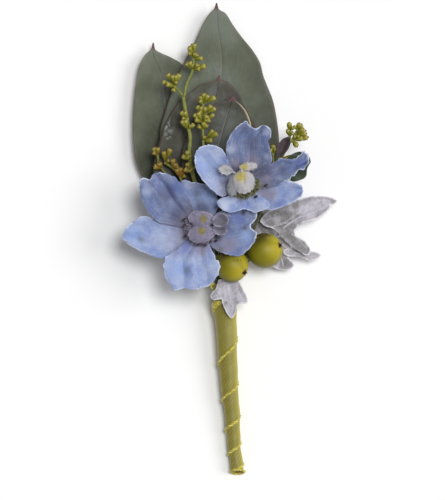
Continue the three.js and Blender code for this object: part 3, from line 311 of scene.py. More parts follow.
class Paint:
    """A procedural material. Its helpers return node outputs, which feed one another.

    An input may be a number, an output, a colour of 0 to 255, or the name of a value on the mesh.
    """

    def __init__(self, name, **fixed):
        self.material = bpy.data.materials.new(name)
        self.material.use_nodes = True
        self.tree = self.material.node_tree
        self.tree.nodes.clear()
        self.shader = self.node("BsdfPrincipled")
        self.node("OutputMaterial", self.shader.outputs["BSDF"])
        for key, value in fixed.items():
            self.feed(self.shader.inputs[key.replace("_", " ")], value)

    def feed(self, socket, value):
        if isinstance(value, str):
            value = self.node("Attribute", attribute_name=value).outputs["Fac"]
        if isinstance(value, bpy.types.NodeSocket):
            self.tree.links.new(value, socket)
        elif value is not None:
            socket.default_value = srgb(*value) if socket.type == "RGBA" else value

    def node(self, kind, *inputs, **settings):
        made = self.tree.nodes.new("ShaderNode" + kind)
        for key, value in settings.items():
            setattr(made, key, value)
        for i, value in enumerate(inputs):
            self.feed(made.inputs[i], value)
        return made

    def where(self, scale=(1, 1, 1)):
        """The place on the object in millimetres, times scale."""
        place = self.node("TexCoord").outputs["Object"]
        scale = tuple(1000 * s for s in scale)
        return self.node("VectorMath", place, scale, operation="MULTIPLY").outputs[0]

    def vector(self, x, y, z=0.0):
        return self.node("CombineXYZ", x, y, z).outputs[0]

    def noise(self, scale, detail=3.0, rough=0.55, at=None):
        made = self.node("TexNoise", at or self.where(), None, scale, detail, rough)
        return made.outputs["Fac"]

    def cells(self, scale, feature="F1"):
        made = self.node("TexVoronoi", self.where(), None, scale, feature=feature)
        return made.outputs["Distance"]

    def math(self, operation, a, b=0.0):
        return self.node("Math", a, b, operation=operation).outputs[0]

    def times(self, a, b):
        return self.math("MULTIPLY", a, b)

    def plus(self, a, b):
        return self.math("ADD", a, b)

    def minus(self, a, b):
        return self.math("SUBTRACT", a, b)

    def step(self, value, low, high, start=0.0, end=1.0):
        ends = (low, high, start, end)
        return self.node("MapRange", value, *ends, interpolation_type="SMOOTHSTEP").outputs[0]

    def ragged(self, noise, reach):
        """The distance to the rim, made uneven by a noise."""
        return self.plus("edge", self.times(self.minus(noise, 0.5), reach))

    def mix(self, factor, a, b):
        return self.node("Mix", factor, *[None] * 5, a, b, data_type="RGBA").outputs[2]

    def over(self, *layers):
        """Lays colours over what is there. A layer is a mask, a share of it and a colour."""
        for mask, share, colour in layers:
            mask = mask if share == 1 else self.times(mask, share)
            self.colour = self.mix(mask, self.colour, colour)

    def finish(self, height, strength=0.5, depth=0.0002, rough=None):
        bump = self.node("Bump")
        for key, value in (("Strength", strength), ("Distance", depth), ("Height", height)):
            self.feed(bump.inputs[key], value)
        ends = {"Base Color": self.colour, "Roughness": rough, "Normal": bump.outputs["Normal"]}
        for key, value in ends.items():
            self.feed(self.shader.inputs[key], value)
        return self.material


def leaf_paint(name, light, dark, low, margin, strength):
    """Waxy leaf: bloom in patches, fine side veins, a thin brown margin, a dark tip, painted shade
    towards the base and a painted highlight.
    """
    p = Paint(name, Sheen_Weight=0.08, Specular_IOR_Level=0.3)
    patches, fine = p.noise(0.11, 4), p.noise(1.6, 4)
    away = p.math("ABSOLUTE", "across")
    # Side veins leave the midrib at a slant and fade towards the margin.
    slant = p.minus(p.times("along", 16.0), p.times(away, 5.5))
    turn = p.math("FRACT", p.plus(slant, p.times(p.noise(0.22, 2), 2.2)))
    line = p.math("ABSOLUTE", p.minus(turn, 0.5))
    vein = p.times(p.step(line, 0.09, 0.0), p.step(away, 0.95, 0.3))
    p.colour = p.mix(p.step(patches, 0.3, 0.72), light, dark)
    p.over(
        (p.times(p.step(away, 0.55, 0.0), p.step(patches, 0.62, 0.4)), 0.45, (92, 99, 98)),
        # Painted shade: darker towards the base, where the leaves lie under the flowers and one
        # another; partly the leaves' own darker colour.
        (p.step("along", 0.68, 0.12), 1, low),
        (p.step("along", 0.76, 0.96), "bloom", (128, 134, 124)),
        (p.step(p.noise(0.55, 5, at=p.where((1, 0.35, 1))), 0.5, 0.8), 0.2, (116, 120, 108)),
        (vein, 0.12, (140, 142, 126)),
        (p.step(away, 0.022, 0.006), 0.4, (140, 126, 112)),
        (p.step(p.cells(0.62), 0.13, 0.05), 0.3, (66, 72, 60)),
        # Painted highlight: a pale sheen laid into the colour on the middle leaf.
        (p.times("gloss", p.step(p.noise(0.9, 5, 0.75), 0.42, 0.62)), 0.75, (158, 166, 164)),
        ("shade", 0.8, (44, 40, 36)),
        (p.step(p.ragged(fine, 0.7), 0.6, 0.2), strength, margin),
        ("tan", 1, (166, 156, 126)),
        ("tip", 1, (92, 56, 60)),
    )
    rough = p.step(p.noise(0.3), 0.2, 0.8, 0.44, 0.68)
    return p.finish(p.plus(p.times(fine, 0.5), p.times(vein, 0.35)), 0.35, 0.00012, rough)


def petal_paint(name):
    """Petal: its own tint, streaks from the base, mottling, a pale rim and painted marks, among
    them painted shade at the base and under other petals, and painted shadow in deep gaps.
    """
    p = Paint(name, Roughness=0.65, Sheen_Weight=0.1, Sheen_Roughness=0.5, Subsurface_Weight=0.1,
              Subsurface_Scale=0.001, Specular_IOR_Level=0.2, Subsurface_Radius=(0.9, 0.9, 1.0))
    tint = lambda pale, deep: p.mix("tone", pale, deep)
    fan = p.vector(p.times("across", 6.0), p.times("along", 1.6), "tone")
    fine = p.noise(1.5, at=p.vector(p.times("across", 24.0), p.times("along", 3.0), "tone"))
    cloud, grain = p.noise(0.2, 4), p.noise(1.1, 4)
    blotch, specks = p.noise(0.5, 6, 0.75), p.noise(1.5, 4, 0.7)
    soft = p.plus(p.times(p.noise(1.4, 5, 0.6, fan), 0.3), p.times(cloud, 0.7))
    rim = p.times(p.step(p.ragged(grain, 0.5), 0.42, 0.16), p.step(cloud, 0.68, 0.4))
    rim = p.times(p.times(rim, p.step("along", 0.3, 0.75)), p.step("bare", 1.0, 0.0))
    light, deep = tint((158, 171, 204), (106, 117, 148)), tint((128, 146, 194), (78, 92, 134))
    p.colour = p.mix(p.step(soft, 0.4, 0.62), light, deep)
    p.over(
        # Darker and greyer towards the base: partly the petals' lilac base, partly painted shade by
        # the hub.
        (p.step("along", 0.6, 0.1), 1, tint((136, 135, 156), (90, 88, 104))),
        (p.step(fine, 0.5, 0.72), 0.22, (176, 184, 216)),
        (p.step(fine, 0.46, 0.28), 0.22, (80, 88, 132)),
        (p.step(grain, 0.5, 0.75), 0.14, (166, 164, 192)),
        (p.step(blotch, 0.5, 0.7), 0.5, tint((176, 184, 208), (128, 138, 168))),
        (p.step(blotch, 0.48, 0.3), 0.5, tint((114, 130, 180), (70, 82, 118))),
        (p.step(specks, 0.55, 0.7), 0.3, tint((184, 190, 210), (136, 144, 170))),
        (p.step(specks, 0.45, 0.3), 0.3, tint((104, 118, 164), (66, 76, 110))),
        ("blush", 0.65, (96, 112, 172)), ("sky", 0.6, (136, 160, 208)),
        ("smudge", 0.65, (98, 112, 126)), ("pale", 0.45, (176, 184, 208)),
        # Painted shade where petals lie under others and inside rolled tips.
        ("dusk", 0.7, (80, 84, 114)), ("ash", 0.75, (132, 126, 144)),
        ("olive", 0.8, (100, 100, 78)), ("milk", 0.75, (190, 196, 214)),
        # Painted shadow: near-black spots where deep shade falls in gaps between petals.
        ("hole", 0.9, (56, 52, 48)), (rim, 0.75, (212, 220, 240)),
    )
    return p.finish(p.plus(p.times(fine, 0.5), p.times(specks, 1.2)))


def bee_paint(name, body, pale, grey, spot):
    """The small inner petals: tender, with a yellow spot where the hairs stand; some are greyer,
    partly painted shade.
    """
    p = Paint(name, Roughness=0.6, Sheen_Weight=0.2, Subsurface_Weight=0.1, Subsurface_Scale=0.0008,
              Specular_IOR_Level=0.25, Subsurface_Radius=(0.9, 0.9, 1.0))
    cloud = p.noise(0.6, 5, 0.7)
    vein = p.noise(2.0, at=p.vector(p.times("across", 9.0), "along"))
    p.colour = p.mix(p.step(cloud, 0.32, 0.7), body, pale)
    p.over(
        # Grey: partly the petals' own translucent grey, partly painted shade in their cups and on
        # the petal tucked under the dome.
        ("grey", 1, grey),
        (p.step(vein, 0.5, 0.72), 0.25, pale),
        (p.times(p.step("edge", 0.55, 0.1), p.step(cloud, 0.62, 0.42)), 0.6, (194, 194, 204)),
        ("spot", 1, spot),
    )
    return p.finish(p.plus(vein, p.noise(3.0)), 0.4, 0.0001)


def bud_paint(name, green, yellow, ochre, rim):
    """Buds and their stalks: greener below, ochre above, with a pale rim and a dark nub; the stalks
    carry painted shade where they run under the flowers.
    """
    p = Paint(name, Roughness=0.55, Specular_IOR_Level=0.3, Subsurface_Weight=0.05,
              Subsurface_Scale=0.0006)
    cloud = p.noise(0.7)
    stalk = p.mix(p.step(cloud, 0.3, 0.7), green, (130, 132, 64))
    # Painted shade: stalks darken from 15 to 8 mm along y, where they run under the flowers and
    # leaves.
    level = p.node("SeparateXYZ", p.where()).outputs["Y"]
    stalk = p.mix(p.times(p.step(level, 15, 8), 0.75), stalk, (68, 70, 50))
    bud = p.mix(p.step(p.plus("along", p.times(cloud, 0.5)), 0.55, 1.15), yellow, ochre)
    p.colour = p.mix("bud", stalk, p.mix(p.times("ripe", 0.8), bud, (142, 92, 30)))
    p.over(
        ("node", 0.5, (196, 194, 142)), ("rim", 0.75, rim), ("nub", 0.85, (92, 66, 22)),
        (p.step(p.cells(2.6), 0.16, 0.06), 0.35, (98, 92, 26)),
    )
    return p.finish(p.noise(4.0), 0.35, 0.0001)


def berry_paint():
    """Waxy berry: yellower towards its tip, partly painted light; small dark dots; and a painted
    shadow of the petals over its top.
    """
    p = Paint("berry_skin", Coat_Weight=0.04, Coat_Roughness=0.2, Specular_IOR_Level=0.25,
              Subsurface_Weight=0.06, Subsurface_Scale=0.0015, Subsurface_Radius=(1.0, 0.9, 0.3))
    fine = p.noise(2.2, 4)
    threads = p.noise(9.0, 4, at=p.vector("east", "north", "along"))
    p.colour = p.mix(p.step(p.noise(0.22), 0.3, 0.7), (118, 112, 17), (130, 123, 24))
    p.over(
        # Yellower and lighter towards the tip, which faces the lamp: partly the berry's own colour,
        # partly painted light.
        (p.step("along", 0.52, 0.9), 1, (166, 152, 34)), ("groove", 0.3, (92, 90, 16)),
        # Painted shadow of the petals over the berry's top, broken by fine streaks.
        ("dull", p.step(threads, 0.2, 0.5), (72, 62, 20)),
        (p.step(fine, 0.55, 0.75), 0.2, (152, 146, 52)),
        ("dot", 1, (70, 56, 14)), ("style", 1, (46, 26, 14)),
    )
    return p.finish(fine, 0.15, 0.0001, p.step(fine, 0.2, 0.8, 0.42, 0.56))


def felt_paint():
    """Felted silver leaf: matted hairs, white rims and thin ribs, painted shade in its hollow
    parts, and painted light where it is brightest.
    """
    p = Paint("silver_felt", Roughness=0.9, Sheen_Weight=0.35, Sheen_Roughness=0.6,
              Specular_IOR_Level=0.12)
    cloud, net = p.noise(0.3, 4), p.cells(0.75, "SMOOTH_F1")
    hairs = p.noise(1.7, 6, 0.75, p.where((1, 1.7, 1)))
    grey = p.mix(p.step(hairs, 0.4, 0.6), (98, 99, 90), (120, 117, 117))
    rim = p.times(p.step(p.ragged(hairs, 0.5), 0.45, 0.15), p.step(cloud, 0.75, 0.45))
    p.colour = p.mix(p.step(cloud, 0.36, 0.66), (174, 170, 179), (142, 138, 144))
    p.over(
        (p.step(hairs, 0.45, 0.7), 0.45, (208, 204, 214)),
        (p.step(hairs, 0.45, 0.25), 0.45, (118, 115, 116)),
        (p.step(net, 0.42, 0.7), 0.15, (122, 120, 122)),
        # Painted shade in the hollow parts and folds, and on the half folded under.
        (p.times("shade", p.step(cloud, 0.1, 0.45)), 0.8, grey),
        ("rib", p.step(hairs, 0.35, 0.65), (196, 192, 202)),
        # Painted light where the blade faces the lamp and is brightest.
        ("glow", 0.55, (206, 202, 214)),
        (p.times(rim, p.step("plain", 1.0, 0.0)), 0.85, (226, 224, 230)),
    )
    return p.finish(p.plus(hairs, p.times(net, 0.6)), 0.8)


def ribbon_paint():
    """Satin ribbon: threads along its length, wefts across, slight folds in tone, painted shade
    between the stems beneath it, and painted light on its sides.
    """
    p = Paint("ribbon_satin", Sheen_Weight=0.35, Sheen_Roughness=0.35, Anisotropic=0.4)
    folds = p.noise(1.0, at=p.vector(p.times("width", 0.5), p.times("length", 0.06)))
    warp = p.noise(1.0, 2, at=p.vector(p.times("width", 9.0), p.times("length", 0.4)))
    weft = p.math("SINE", p.times("length", 15.0))
    hatch = p.math("SINE", p.times(p.minus("length", p.times("width", 1.1)), 4.0))
    p.colour = p.mix(p.step(folds, 0.3, 0.7), (126, 117, 30), (140, 131, 40))
    p.over(
        # Painted shade in the valleys between the bound stems, standing in for the satin's
        # lengthwise shading.
        ("lobe", 0.7, (116, 110, 46)),
        # Painted light: the right side lighter and yellower, as lit from the right, and a painted
        # sheen along the left rim.
        ("right", 0.6, (190, 179, 76)), ("left", 0.45, (152, 134, 50)),
        (p.step(warp, 0.45, 0.75), 0.3, (158, 148, 62)),
        (p.step(warp, 0.45, 0.25), 0.3, (94, 88, 28)),
        (p.step(hatch, 0.0, 1.0), 0.14, (176, 166, 70)),
        (p.step(hatch, 0.0, -1.0), 0.18, (92, 86, 34)),
        (p.step("edge", 0.7, 0.1), 0.5, (190, 176, 44)),
    )
    height = p.plus(p.times(warp, 0.7), p.times(weft, 0.25))
    return p.finish(height, 0.35, 0.00012, p.step(warp, 0.2, 0.8, 0.36, 0.56))


def selvage_paint():
    """The twisted edge: bright threads, one strand deeper, with dark gaps."""
    p = Paint("ribbon_selvage", Roughness=0.38, Sheen_Weight=0.3)
    p.colour = p.mix(p.step(p.noise(1.2), 0.3, 0.7), (196, 182, 46), (220, 208, 96))
    p.over(("strand", 0.5, (158, 142, 32)), (p.step(p.noise(0.9), 0.46, 0.34), 0.6, (108, 98, 30)))
    return p.finish(p.noise(5.0, 2), 0.4, 0.0001)


def plain_paint(name, light, dark, rough, scale, **fixed):
    """A grown or taped surface in two tones with a fine grain."""
    p = Paint(name, **fixed)
    grain = p.noise(2.5 * scale, 5, 0.65)
    p.colour = p.mix(p.step(p.noise(0.5 * scale), 0.3, 0.7), light, dark)
    p.over((p.step(grain, 0.5, 0.75), 0.3, light))
    return p.finish(grain, 0.5, 0.00015, p.step(grain, 0.2, 0.8, rough - 0.1, rough + 0.08))


# ---------------------------------------------------------------- handle
# Stations of the bound handle as [y, x, z, radius], and where the ribbon's lower edge crosses
# the left side, from the cut end up.
HANDLE = np.array([
    [-14.2, -2.0, 5.0, 3.85], [-19.0, -1.7, 4.75, 3.8], [-26.3, -1.3, 4.35, 3.2],
    [-45.6, -0.3, 3.35, 2.6], [-55.3, 0.7, 2.8, 2.25], [-64.7, 1.25, 2.3, 1.85],
    [-74.0, 2.5, 1.85, 1.85],
])[::-1]
TOP, END = -14.2, -74.0
TURNS = np.array([0, 1, 2, 3, 4, 5, 6, 6.3, 7, 8, 9])
EDGES = np.array([-80, -73.6, -67.8, -60.3, -50.9, -39.7, -23.1, -18.3, -14.5, -4, 6])
STEP, CUT_SLOPE = 0.22, 1.5


def cut_at(turn):
    """Where the slanting cut end lies. A turn runs from the left over the front to the right."""
    return END + CUT_SLOPE / 2 * (1 + np.sin(TAU * turn))


def spine(y):
    """The x, z and radius of the handle at y."""
    return [np.interp(y, HANDLE[:, 0], column) for column in HANDLE[:, 1:].T]


def handle(y, turn, proud):
    """Points on the handle, cut off at its slanting end and at its top."""
    y = np.clip(y, cut_at(turn), TOP)
    x, z, r = spine(y)
    r = r + proud
    return np.stack([x - r * np.cos(TAU * turn), y + 0 * r, z + r * np.sin(TAU * turn)], -1)


def stems_under(turn):
    """How the bound stems press through the ribbon, -1 to 1 round the handle."""
    return 0.5 * np.cos(TAU * (6 * turn + 0.3)) - 0.5 * np.cos(TAU * 3 * (turn - 0.27))


def edge_height(turn):
    return np.interp(turn, TURNS, EDGES)


def ribbon():
    """The wound ribbon, and its length and mean width for the flat size."""
    per_turn, rows, lap = 56, 16, 0.12
    turns = np.arange(0, TURNS[-1] * per_turn + 1) / per_turn
    low = np.where(turns < 1, EDGES[0] - (1 - turns) * 6, edge_height(turns - 1))
    high = edge_height(turns) + lap * (edge_height(turns) - low)
    start, stop = (np.clip(end, cut_at(turns), TOP) for end in (low, high))
    keep = stop - start > 0.02
    turns, low, high, start, stop = (a[keep][:, None] for a in (turns, low, high, start, stop))
    y = start + (stop - start) * np.linspace(0, 1, rows + 1)
    share = (y - low) / (high - low)
    turns = turns + 0 * y
    proud = STEP * (1 - share) + 0.05 * stems_under(turns) * smooth(share, 0, 0.1)
    fold = 0.05 * np.sin(9 * share + 2.2 * crumple(turns * 4, share * 2, 3, 5))
    proud = np.maximum(proud + fold * smooth(share, 0, 0.2) * smooth(share, 1, 0.8), -0.02)
    grid = handle(y, turns, proud)
    grid[..., 2] = np.maximum(grid[..., 2], 0.1)
    length = np.cumsum(TAU * spine(start)[2] / per_turn, axis=0)
    body = Body()
    sheet(body, grid, RIBBON_THICK, edge=np.minimum(y - low, 2), length=length, width=y - low,
          # Painted shade: the ribbon is darker where it sinks between the bound stems.
          lobe=0.5 - 0.5 * stems_under(turns),
          # Painted light on the right side and a painted sheen along the left rim.
          right=smooth(turns % 1, 0.3, 0.44), left=smooth(turns % 1, 0.2, 0.06))
    band = body.build("ribbon_band", [ribbon_paint()], ["ribbon_wrap"])
    return band, float(length.max()), float((high - low).mean())


def picot():
    """The bright twisted selvage: two strands wound round each other along the ribbon's edge."""
    body = Body()
    turns = np.linspace(1, TURNS[-1], 1600)
    y = edge_height(turns - 1)
    inside = (y > cut_at(turns) + 0.1) & (y < TOP)
    first = turns[inside][0]
    ring = np.linspace(first - 1.02, first, 90, endpoint=False)
    y = np.concatenate([cut_at(ring) + 0.16, y[inside]])
    line = handle(y, np.concatenate([ring, turns[inside]]), STEP + 0.02)
    line[:, 2] = np.maximum(line[:, 2], 0.5)
    line = resample(line, 1800)
    along = run(line)
    rng = np.random.default_rng(3)
    knots = np.arange(0, along[-1] + 3, 2.5)
    wobble = np.interp(along, knots, rng.uniform(-0.8, 0.8, len(knots)))
    thick = np.interp(along, knots, rng.uniform(0.2, 0.3, len(knots)))
    side, other = frames_along(line)
    for strand in (0, 1):
        phase = (TAU * along / 2.0 + strand * math.pi + wobble)[:, None]
        grid = sweep(line + 0.23 * (side * np.cos(phase) + other * np.sin(phase)), thick, 6)
        grid[..., 2] = np.maximum(grid[..., 2], 0.02)
        rings(body, grid, strand=strand)
    # Where the ribbon starts, its edge is gathered into a frill and a small curl.
    for i, (off, first, last) in enumerate([(0.55, 5.96, 6.2), (1.15, 5.98, 6.17), (1.7, 6, 6.13)]):
        t = np.linspace(first, last, 26)
        wave = 0.16 * np.sin(40 * math.pi * (t - first) + i * 2)
        tube(body, handle(edge_height(t) + off + wave, t, STEP + 0.12), 0.3, 7, 60, strand=i % 2)
    curl = np.linspace(0, TAU, 14)
    loop = [-5.2 + 0.7 * np.cos(curl), -14.8 + 0.75 * np.sin(curl), 6.9 + 0.3 * np.sin(curl)]
    tube(body, np.stack(loop, 1), 0.34, 8, 40, strand=0)
    return body.build("ribbon_selvage", [selvage_paint()])


def stem_bundle():
    tape = plain_paint("stem_tape", (74, 74, 40), (54, 56, 30), 0.85, 1.4)
    wood = plain_paint("stem_ends", (104, 96, 54), (58, 50, 28), 0.9, 2.0)
    body = Body()
    ys = np.linspace(END + 2.2, TOP - 1.2, 50)
    turn = np.arange(42) / 42
    lobes = -0.42 + 0.16 * np.cos(TAU * 6 * turn)
    spiral = 0.03 * np.sin(TAU * (ys[:, None] / 4 + turn[None]))
    grid = handle(ys[:, None] + 0 * turn[None], turn[None] + 0 * ys[:, None], lobes[None] + spiral)
    rings(body, grid)
    centre = np.array([2.4, END, 1.85])
    for i in range(7):
        angle = i * math.pi / 3
        reach = 0.0 if i == 6 else 0.8
        spot = centre + [reach * math.cos(angle), 0, reach * math.sin(angle)]
        rise = 1.1 + 0.12 * ((i * 5) % 3)
        tube(body, [spot + [0, 3, 0], spot + [0, rise, 0]], 0.39, 14, 3, paint=1)
    body.build("stem_bundle_taped", [tape, wood], ["stem_bundle"])


# Each stalk stands in its own place inside the ribbon's collar, as [right, up] from its axis.
ROW, COLUMN = 1.12, 0.58
PLACES = {
    "left": (-3 * COLUMN, -ROW), "back": (-COLUMN, -ROW), "middle": (COLUMN, -ROW),
    "dusty_right": (3 * COLUMN, -ROW), "spray_low": (-4 * COLUMN, 0),
    "spray_main": (-2 * COLUMN, 0), "front": (0, 0),
    "floret_right": (2 * COLUMN, 0), "sprig_right": (4 * COLUMN, 0),
    "floret_left": (-3 * COLUMN, ROW), "berries": (-COLUMN, ROW), "dusty_low": (0, 2 * ROW),
}


def collar(place):
    right, up = PLACES[place]
    ends = ((y, *spine(y)) for y in (TOP - 4.5, TOP))
    return [[x + right, y, z + up] for y, x, z, _ in ends]


# ---------------------------------------------------------------- eucalyptus leaves
def bowl(x0, y0, press, leftward, rightward):
    return lambda x, y: (
        0.35 - press + np.where(x < x0, leftward, rightward) * (x - x0) ** 2 + 0.003 * (y - y0) ** 2
    )


LEFT_BOWL = bowl(-15, 36, 0.25, 0.017, 0.0034)
RIGHT_BOWL = bowl(9, 40, 0.3, 0.005, 0.005)
# A leaf: its left side, tip and right side in plan, its bowl and how far it stands above it, the
# petiole's root and bend, its light, dark, low and margin colours, and the margin's strength. The
# low colour, towards the base, is partly the leaf's own and partly painted shade.
LEAVES = {
    "left": ([-8.8, 6, -17, 10.5, -25.5, 16.5, -29.2, 23.5, -30.3, 32, -30.1, 42.5, -29.3, 49.4,
     -28.5, 54.1, -26.7, 57.7, -24.8, 59.7], [-24.3, 61.6, -23.9, 61.6], [-7.8, 6.8, -7.6, 14, -8,
     26, -9.2, 38, -11.4, 48, -14.8, 54.7, -18.5, 57.1, -21.5, 58.4, -23.4, 59.5], LEFT_BOWL, 0,
     [-8.3, 6.4], [-6.2, -1, 4.6], [(90, 96, 76), (78, 83, 65), (46, 47, 36), (112, 98, 80)], 0.45),
    "back": ([-4.2, 3.6, -10.6, 9, -16.9, 16.2, -20.6, 23.5, -21.9, 29.4, -21.8, 34.2, -20.8, 38.1,
     -18.3, 46.1, -14.8, 54.7, -10.8, 62.4, -8.5, 67.4, -6.5, 70.7, -5, 72.2], [-4.4, 74, -4, 74],
     [-2.8, 3.4, 6.6, 8.6, 13.1, 16.9, 15.3, 24.7, 15.5, 30.9, 14.5, 39.2, 13.4, 44.1, 11.8, 48.1,
     10.4, 51.7, 9.5, 55.4, 7.1, 59.4, 3.8, 63.4, 0.8, 67.5, -1.5, 71, -3.4, 72], RIGHT_BOWL, 0,
     [-3.4, 3.4], [-3.1, -5, 4.1], [(96, 103, 86), (82, 88, 72), (54, 56, 47), (108, 88, 80)], 0.5),
    "middle": ([-4.6, 3.6, -14, 9.2, -20.6, 14.2, -23.9, 20.8, -22.3, 29.3, -21.5, 32.6, -19.7,
     36.5, -17, 41.5, -11.8, 46.4, -8.2, 48.8, -4, 49.9], [-3.6, 51.4, -3.2, 51.4], [-3, 3.6, 5,
     9.7, 9.6, 18.4, 10.2, 27.8, 8.3, 34.9, 6, 39.2, 4.3, 42.4, 3.1, 45.1, 1.1, 47.7, -0.9, 49.4,
     -2.7, 49.9], RIGHT_BOWL, 2.5, [-3.7, 3.8], [-2.2, -6, 5.3], [(68, 69, 56), (59, 58, 48), (42,
     39, 32), (80, 60, 52)], 0.6),
    "front": ([-4.4, 6.4, -12.2, 15.3, -15.2, 23.1, -14.4, 29.4, -10.9, 36.6, -7.2, 40.9, -3.2,
     42.9, 0.1, 43.8], [0.7, 45.1, 1.1, 45.1], [-2.8, 6.4, 1.6, 11.4, 5, 18.4, 6.7, 27.8, 6.7, 35.6,
     6.2, 37.5, 5, 40.2, 3.4, 42.1, 1.7, 43.6], RIGHT_BOWL, 4.7, [-3.4, 6.8], [-2.2, -7, 6.6], [(60,
     62, 51), (53, 53, 45), (41, 38, 32), (76, 58, 50)], 0.6),
}


def eucalyptus_leaf(which, left, tip, right, bowl, lift, root, bend, colours, strength):
    surface = lambda x, y: bowl(x, y) + lift
    grid, u, v = patch(left, tip, right, 88, 44)
    x, y = grid[..., 0], grid[..., 1]
    seed = len(which)
    grid[..., 2] = surface(x, y) + 0.25 * abs(v) * 4 * u * (1 - u)
    edge = rim_distance(grid)
    inner = smooth(u, 0.02, 0.15)
    grid[..., 2] += 0.14 * crumple(x, y, 11, seed) * inner
    grid[..., 2] += 0.16 * crumple(x, y, 5, seed + 7) * smooth(edge, 3.5, 0) * inner
    grid[..., 2] -= 0.22 * np.exp(-((v / 0.03) ** 2)) * smooth(u, 1, 0.9)
    grid[..., 2] = np.maximum(grid[..., 2], 0.17)
    marks = {"tip": smooth(gap(grid, grid[-1, 22]), 2.6, 1.2)}
    right_side = gap(grid, grid[:, -1:])
    right_rim = smooth(right_side, 0.75, 0.3)
    if which == "front":
        marks["tan"] = right_rim * smooth(u, 0.35, 0.6) * smooth(u, 0.97, 0.9)
    if which in ("left", "back"):
        marks["bloom"] = 0.4
    if which == "back":
        marks["shade"] = 0.32 * smooth(x, -2, 12)
    if which == "middle":
        wide = smooth(right_side, 2.6, 1.4)
        marks["shade"] = wide * (1 - right_rim) * smooth(u, 0.3, 0.5) * smooth(u, 0.93, 0.8)
        # A painted highlight on the middle leaf, where its left edge curls up towards the lamp.
        sheen = np.hypot((x + 20) / 2.6, (y - 35) / 4.5) + 0.3 * crumple(x, y, 3, 5)
        marks["gloss"] = smooth(sheen, 1, 0.3)
        grid[..., 2] += 0.9 * smooth(np.hypot((x + 20.5) / 2.5, (y - 35) / 7), 1, 0)
    body = Body()
    sheet(body, grid, LEAF_THICK, edge=edge, **marks)
    px, py = root
    foot = [px, py, surface(px, py)]
    inside = [px + (px - bend[0]) * 0.25, py + 5, surface(px, py + 5) - 0.1]
    tube(body, [*collar(which), bend, foot, inside], lambda t: 0.45 - 0.2 * smooth(t, 0.7, 1),
         10, 30, edge=OFF_RIM, across=0.5)
    material = leaf_paint("leaf_" + which, *colours, strength)
    body.build("leaf_" + which, [material], ["eucalyptus_leaf_" + which])


# ---------------------------------------------------------------- bud sprays
BUD = [
    (1.75, 0.2), (1.55, 0.24), (1.35, 0.36), (1.1, 0.5), (0.8, 0.6), (0.5, 0.62), (0.3, 0.56),
    (0.16, 0.57), (0.08, 0.52), (0.04, 0.34), (-0.1, 0.2), (-0.2, 0.03),
]


def bud(body, foot, tip, size, rng, ripe=0.0):
    """A goblet-shaped bud with a rim and a nub on top, and the short stalk it stands on."""
    foot, tip = vec(foot), vec(tip)
    axis = unit(tip - foot)
    length = np.linalg.norm(tip - foot)
    low = min(2.5 * size, 0.94 * length)
    tube(body, [foot, tip - axis * low * 0.9], 0.2, 7, 3, bud=0.0)
    back, radius = np.array(BUD).T
    wide = size * rng.uniform(0.92, 1.08)
    profile = np.stack([radius * wide, -back * low / 1.75], 1)
    rim = np.where((back <= 0.3) & (back > 0.05), 1.0, 0.0)
    nub = np.where(back < 0.02, 1.0, 0.0)
    lathe(body, profile, tip, axis, 12, lambda a, t: 1 + 0.08 * np.cos(4 * a),
          bud=1.0, rim=rim, nub=nub, ripe=ripe)


def umbel(body, joint, ends, rng):
    knot = [[0, -0.45], [0.42, -0.2], [0.46, 0.1], [0.2, 0.4], [0, 0.45]]
    lathe(body, knot, joint, [0, 0, 1], 8, bud=0.0, node=rng.uniform(0, 1))
    for end in ends:
        x, y, lift = [*end, 0.5][:3]
        ripe = smooth(y, 26.5, 21) * rng.uniform(0.4, 1)
        bud(body, joint, [x, y, joint[2] + lift], rng.uniform(1.05, 1.3), rng, ripe)
    mean = np.mean([e[:2] for e in ends], axis=0) - joint[:2]
    turn = math.atan2(mean[1], mean[0]) + rng.choice([-0.9, 0.9]) + rng.uniform(-0.3, 0.3)
    young = joint + np.array([1.7 * math.cos(turn), 1.7 * math.sin(turn), 1.5])
    bud(body, joint, young, 0.85, rng)


def spray(name, node, stems, umbels, paint, seed):
    body = Body()
    rng = np.random.default_rng(seed)
    for points, radius, steps in stems:
        tube(body, points, radius, 10, steps, ridges=0.06, bud=0.0)
    for joint, *ends in umbels:
        umbel(body, joint, ends, rng)
    body.build(name, [paint], [node])


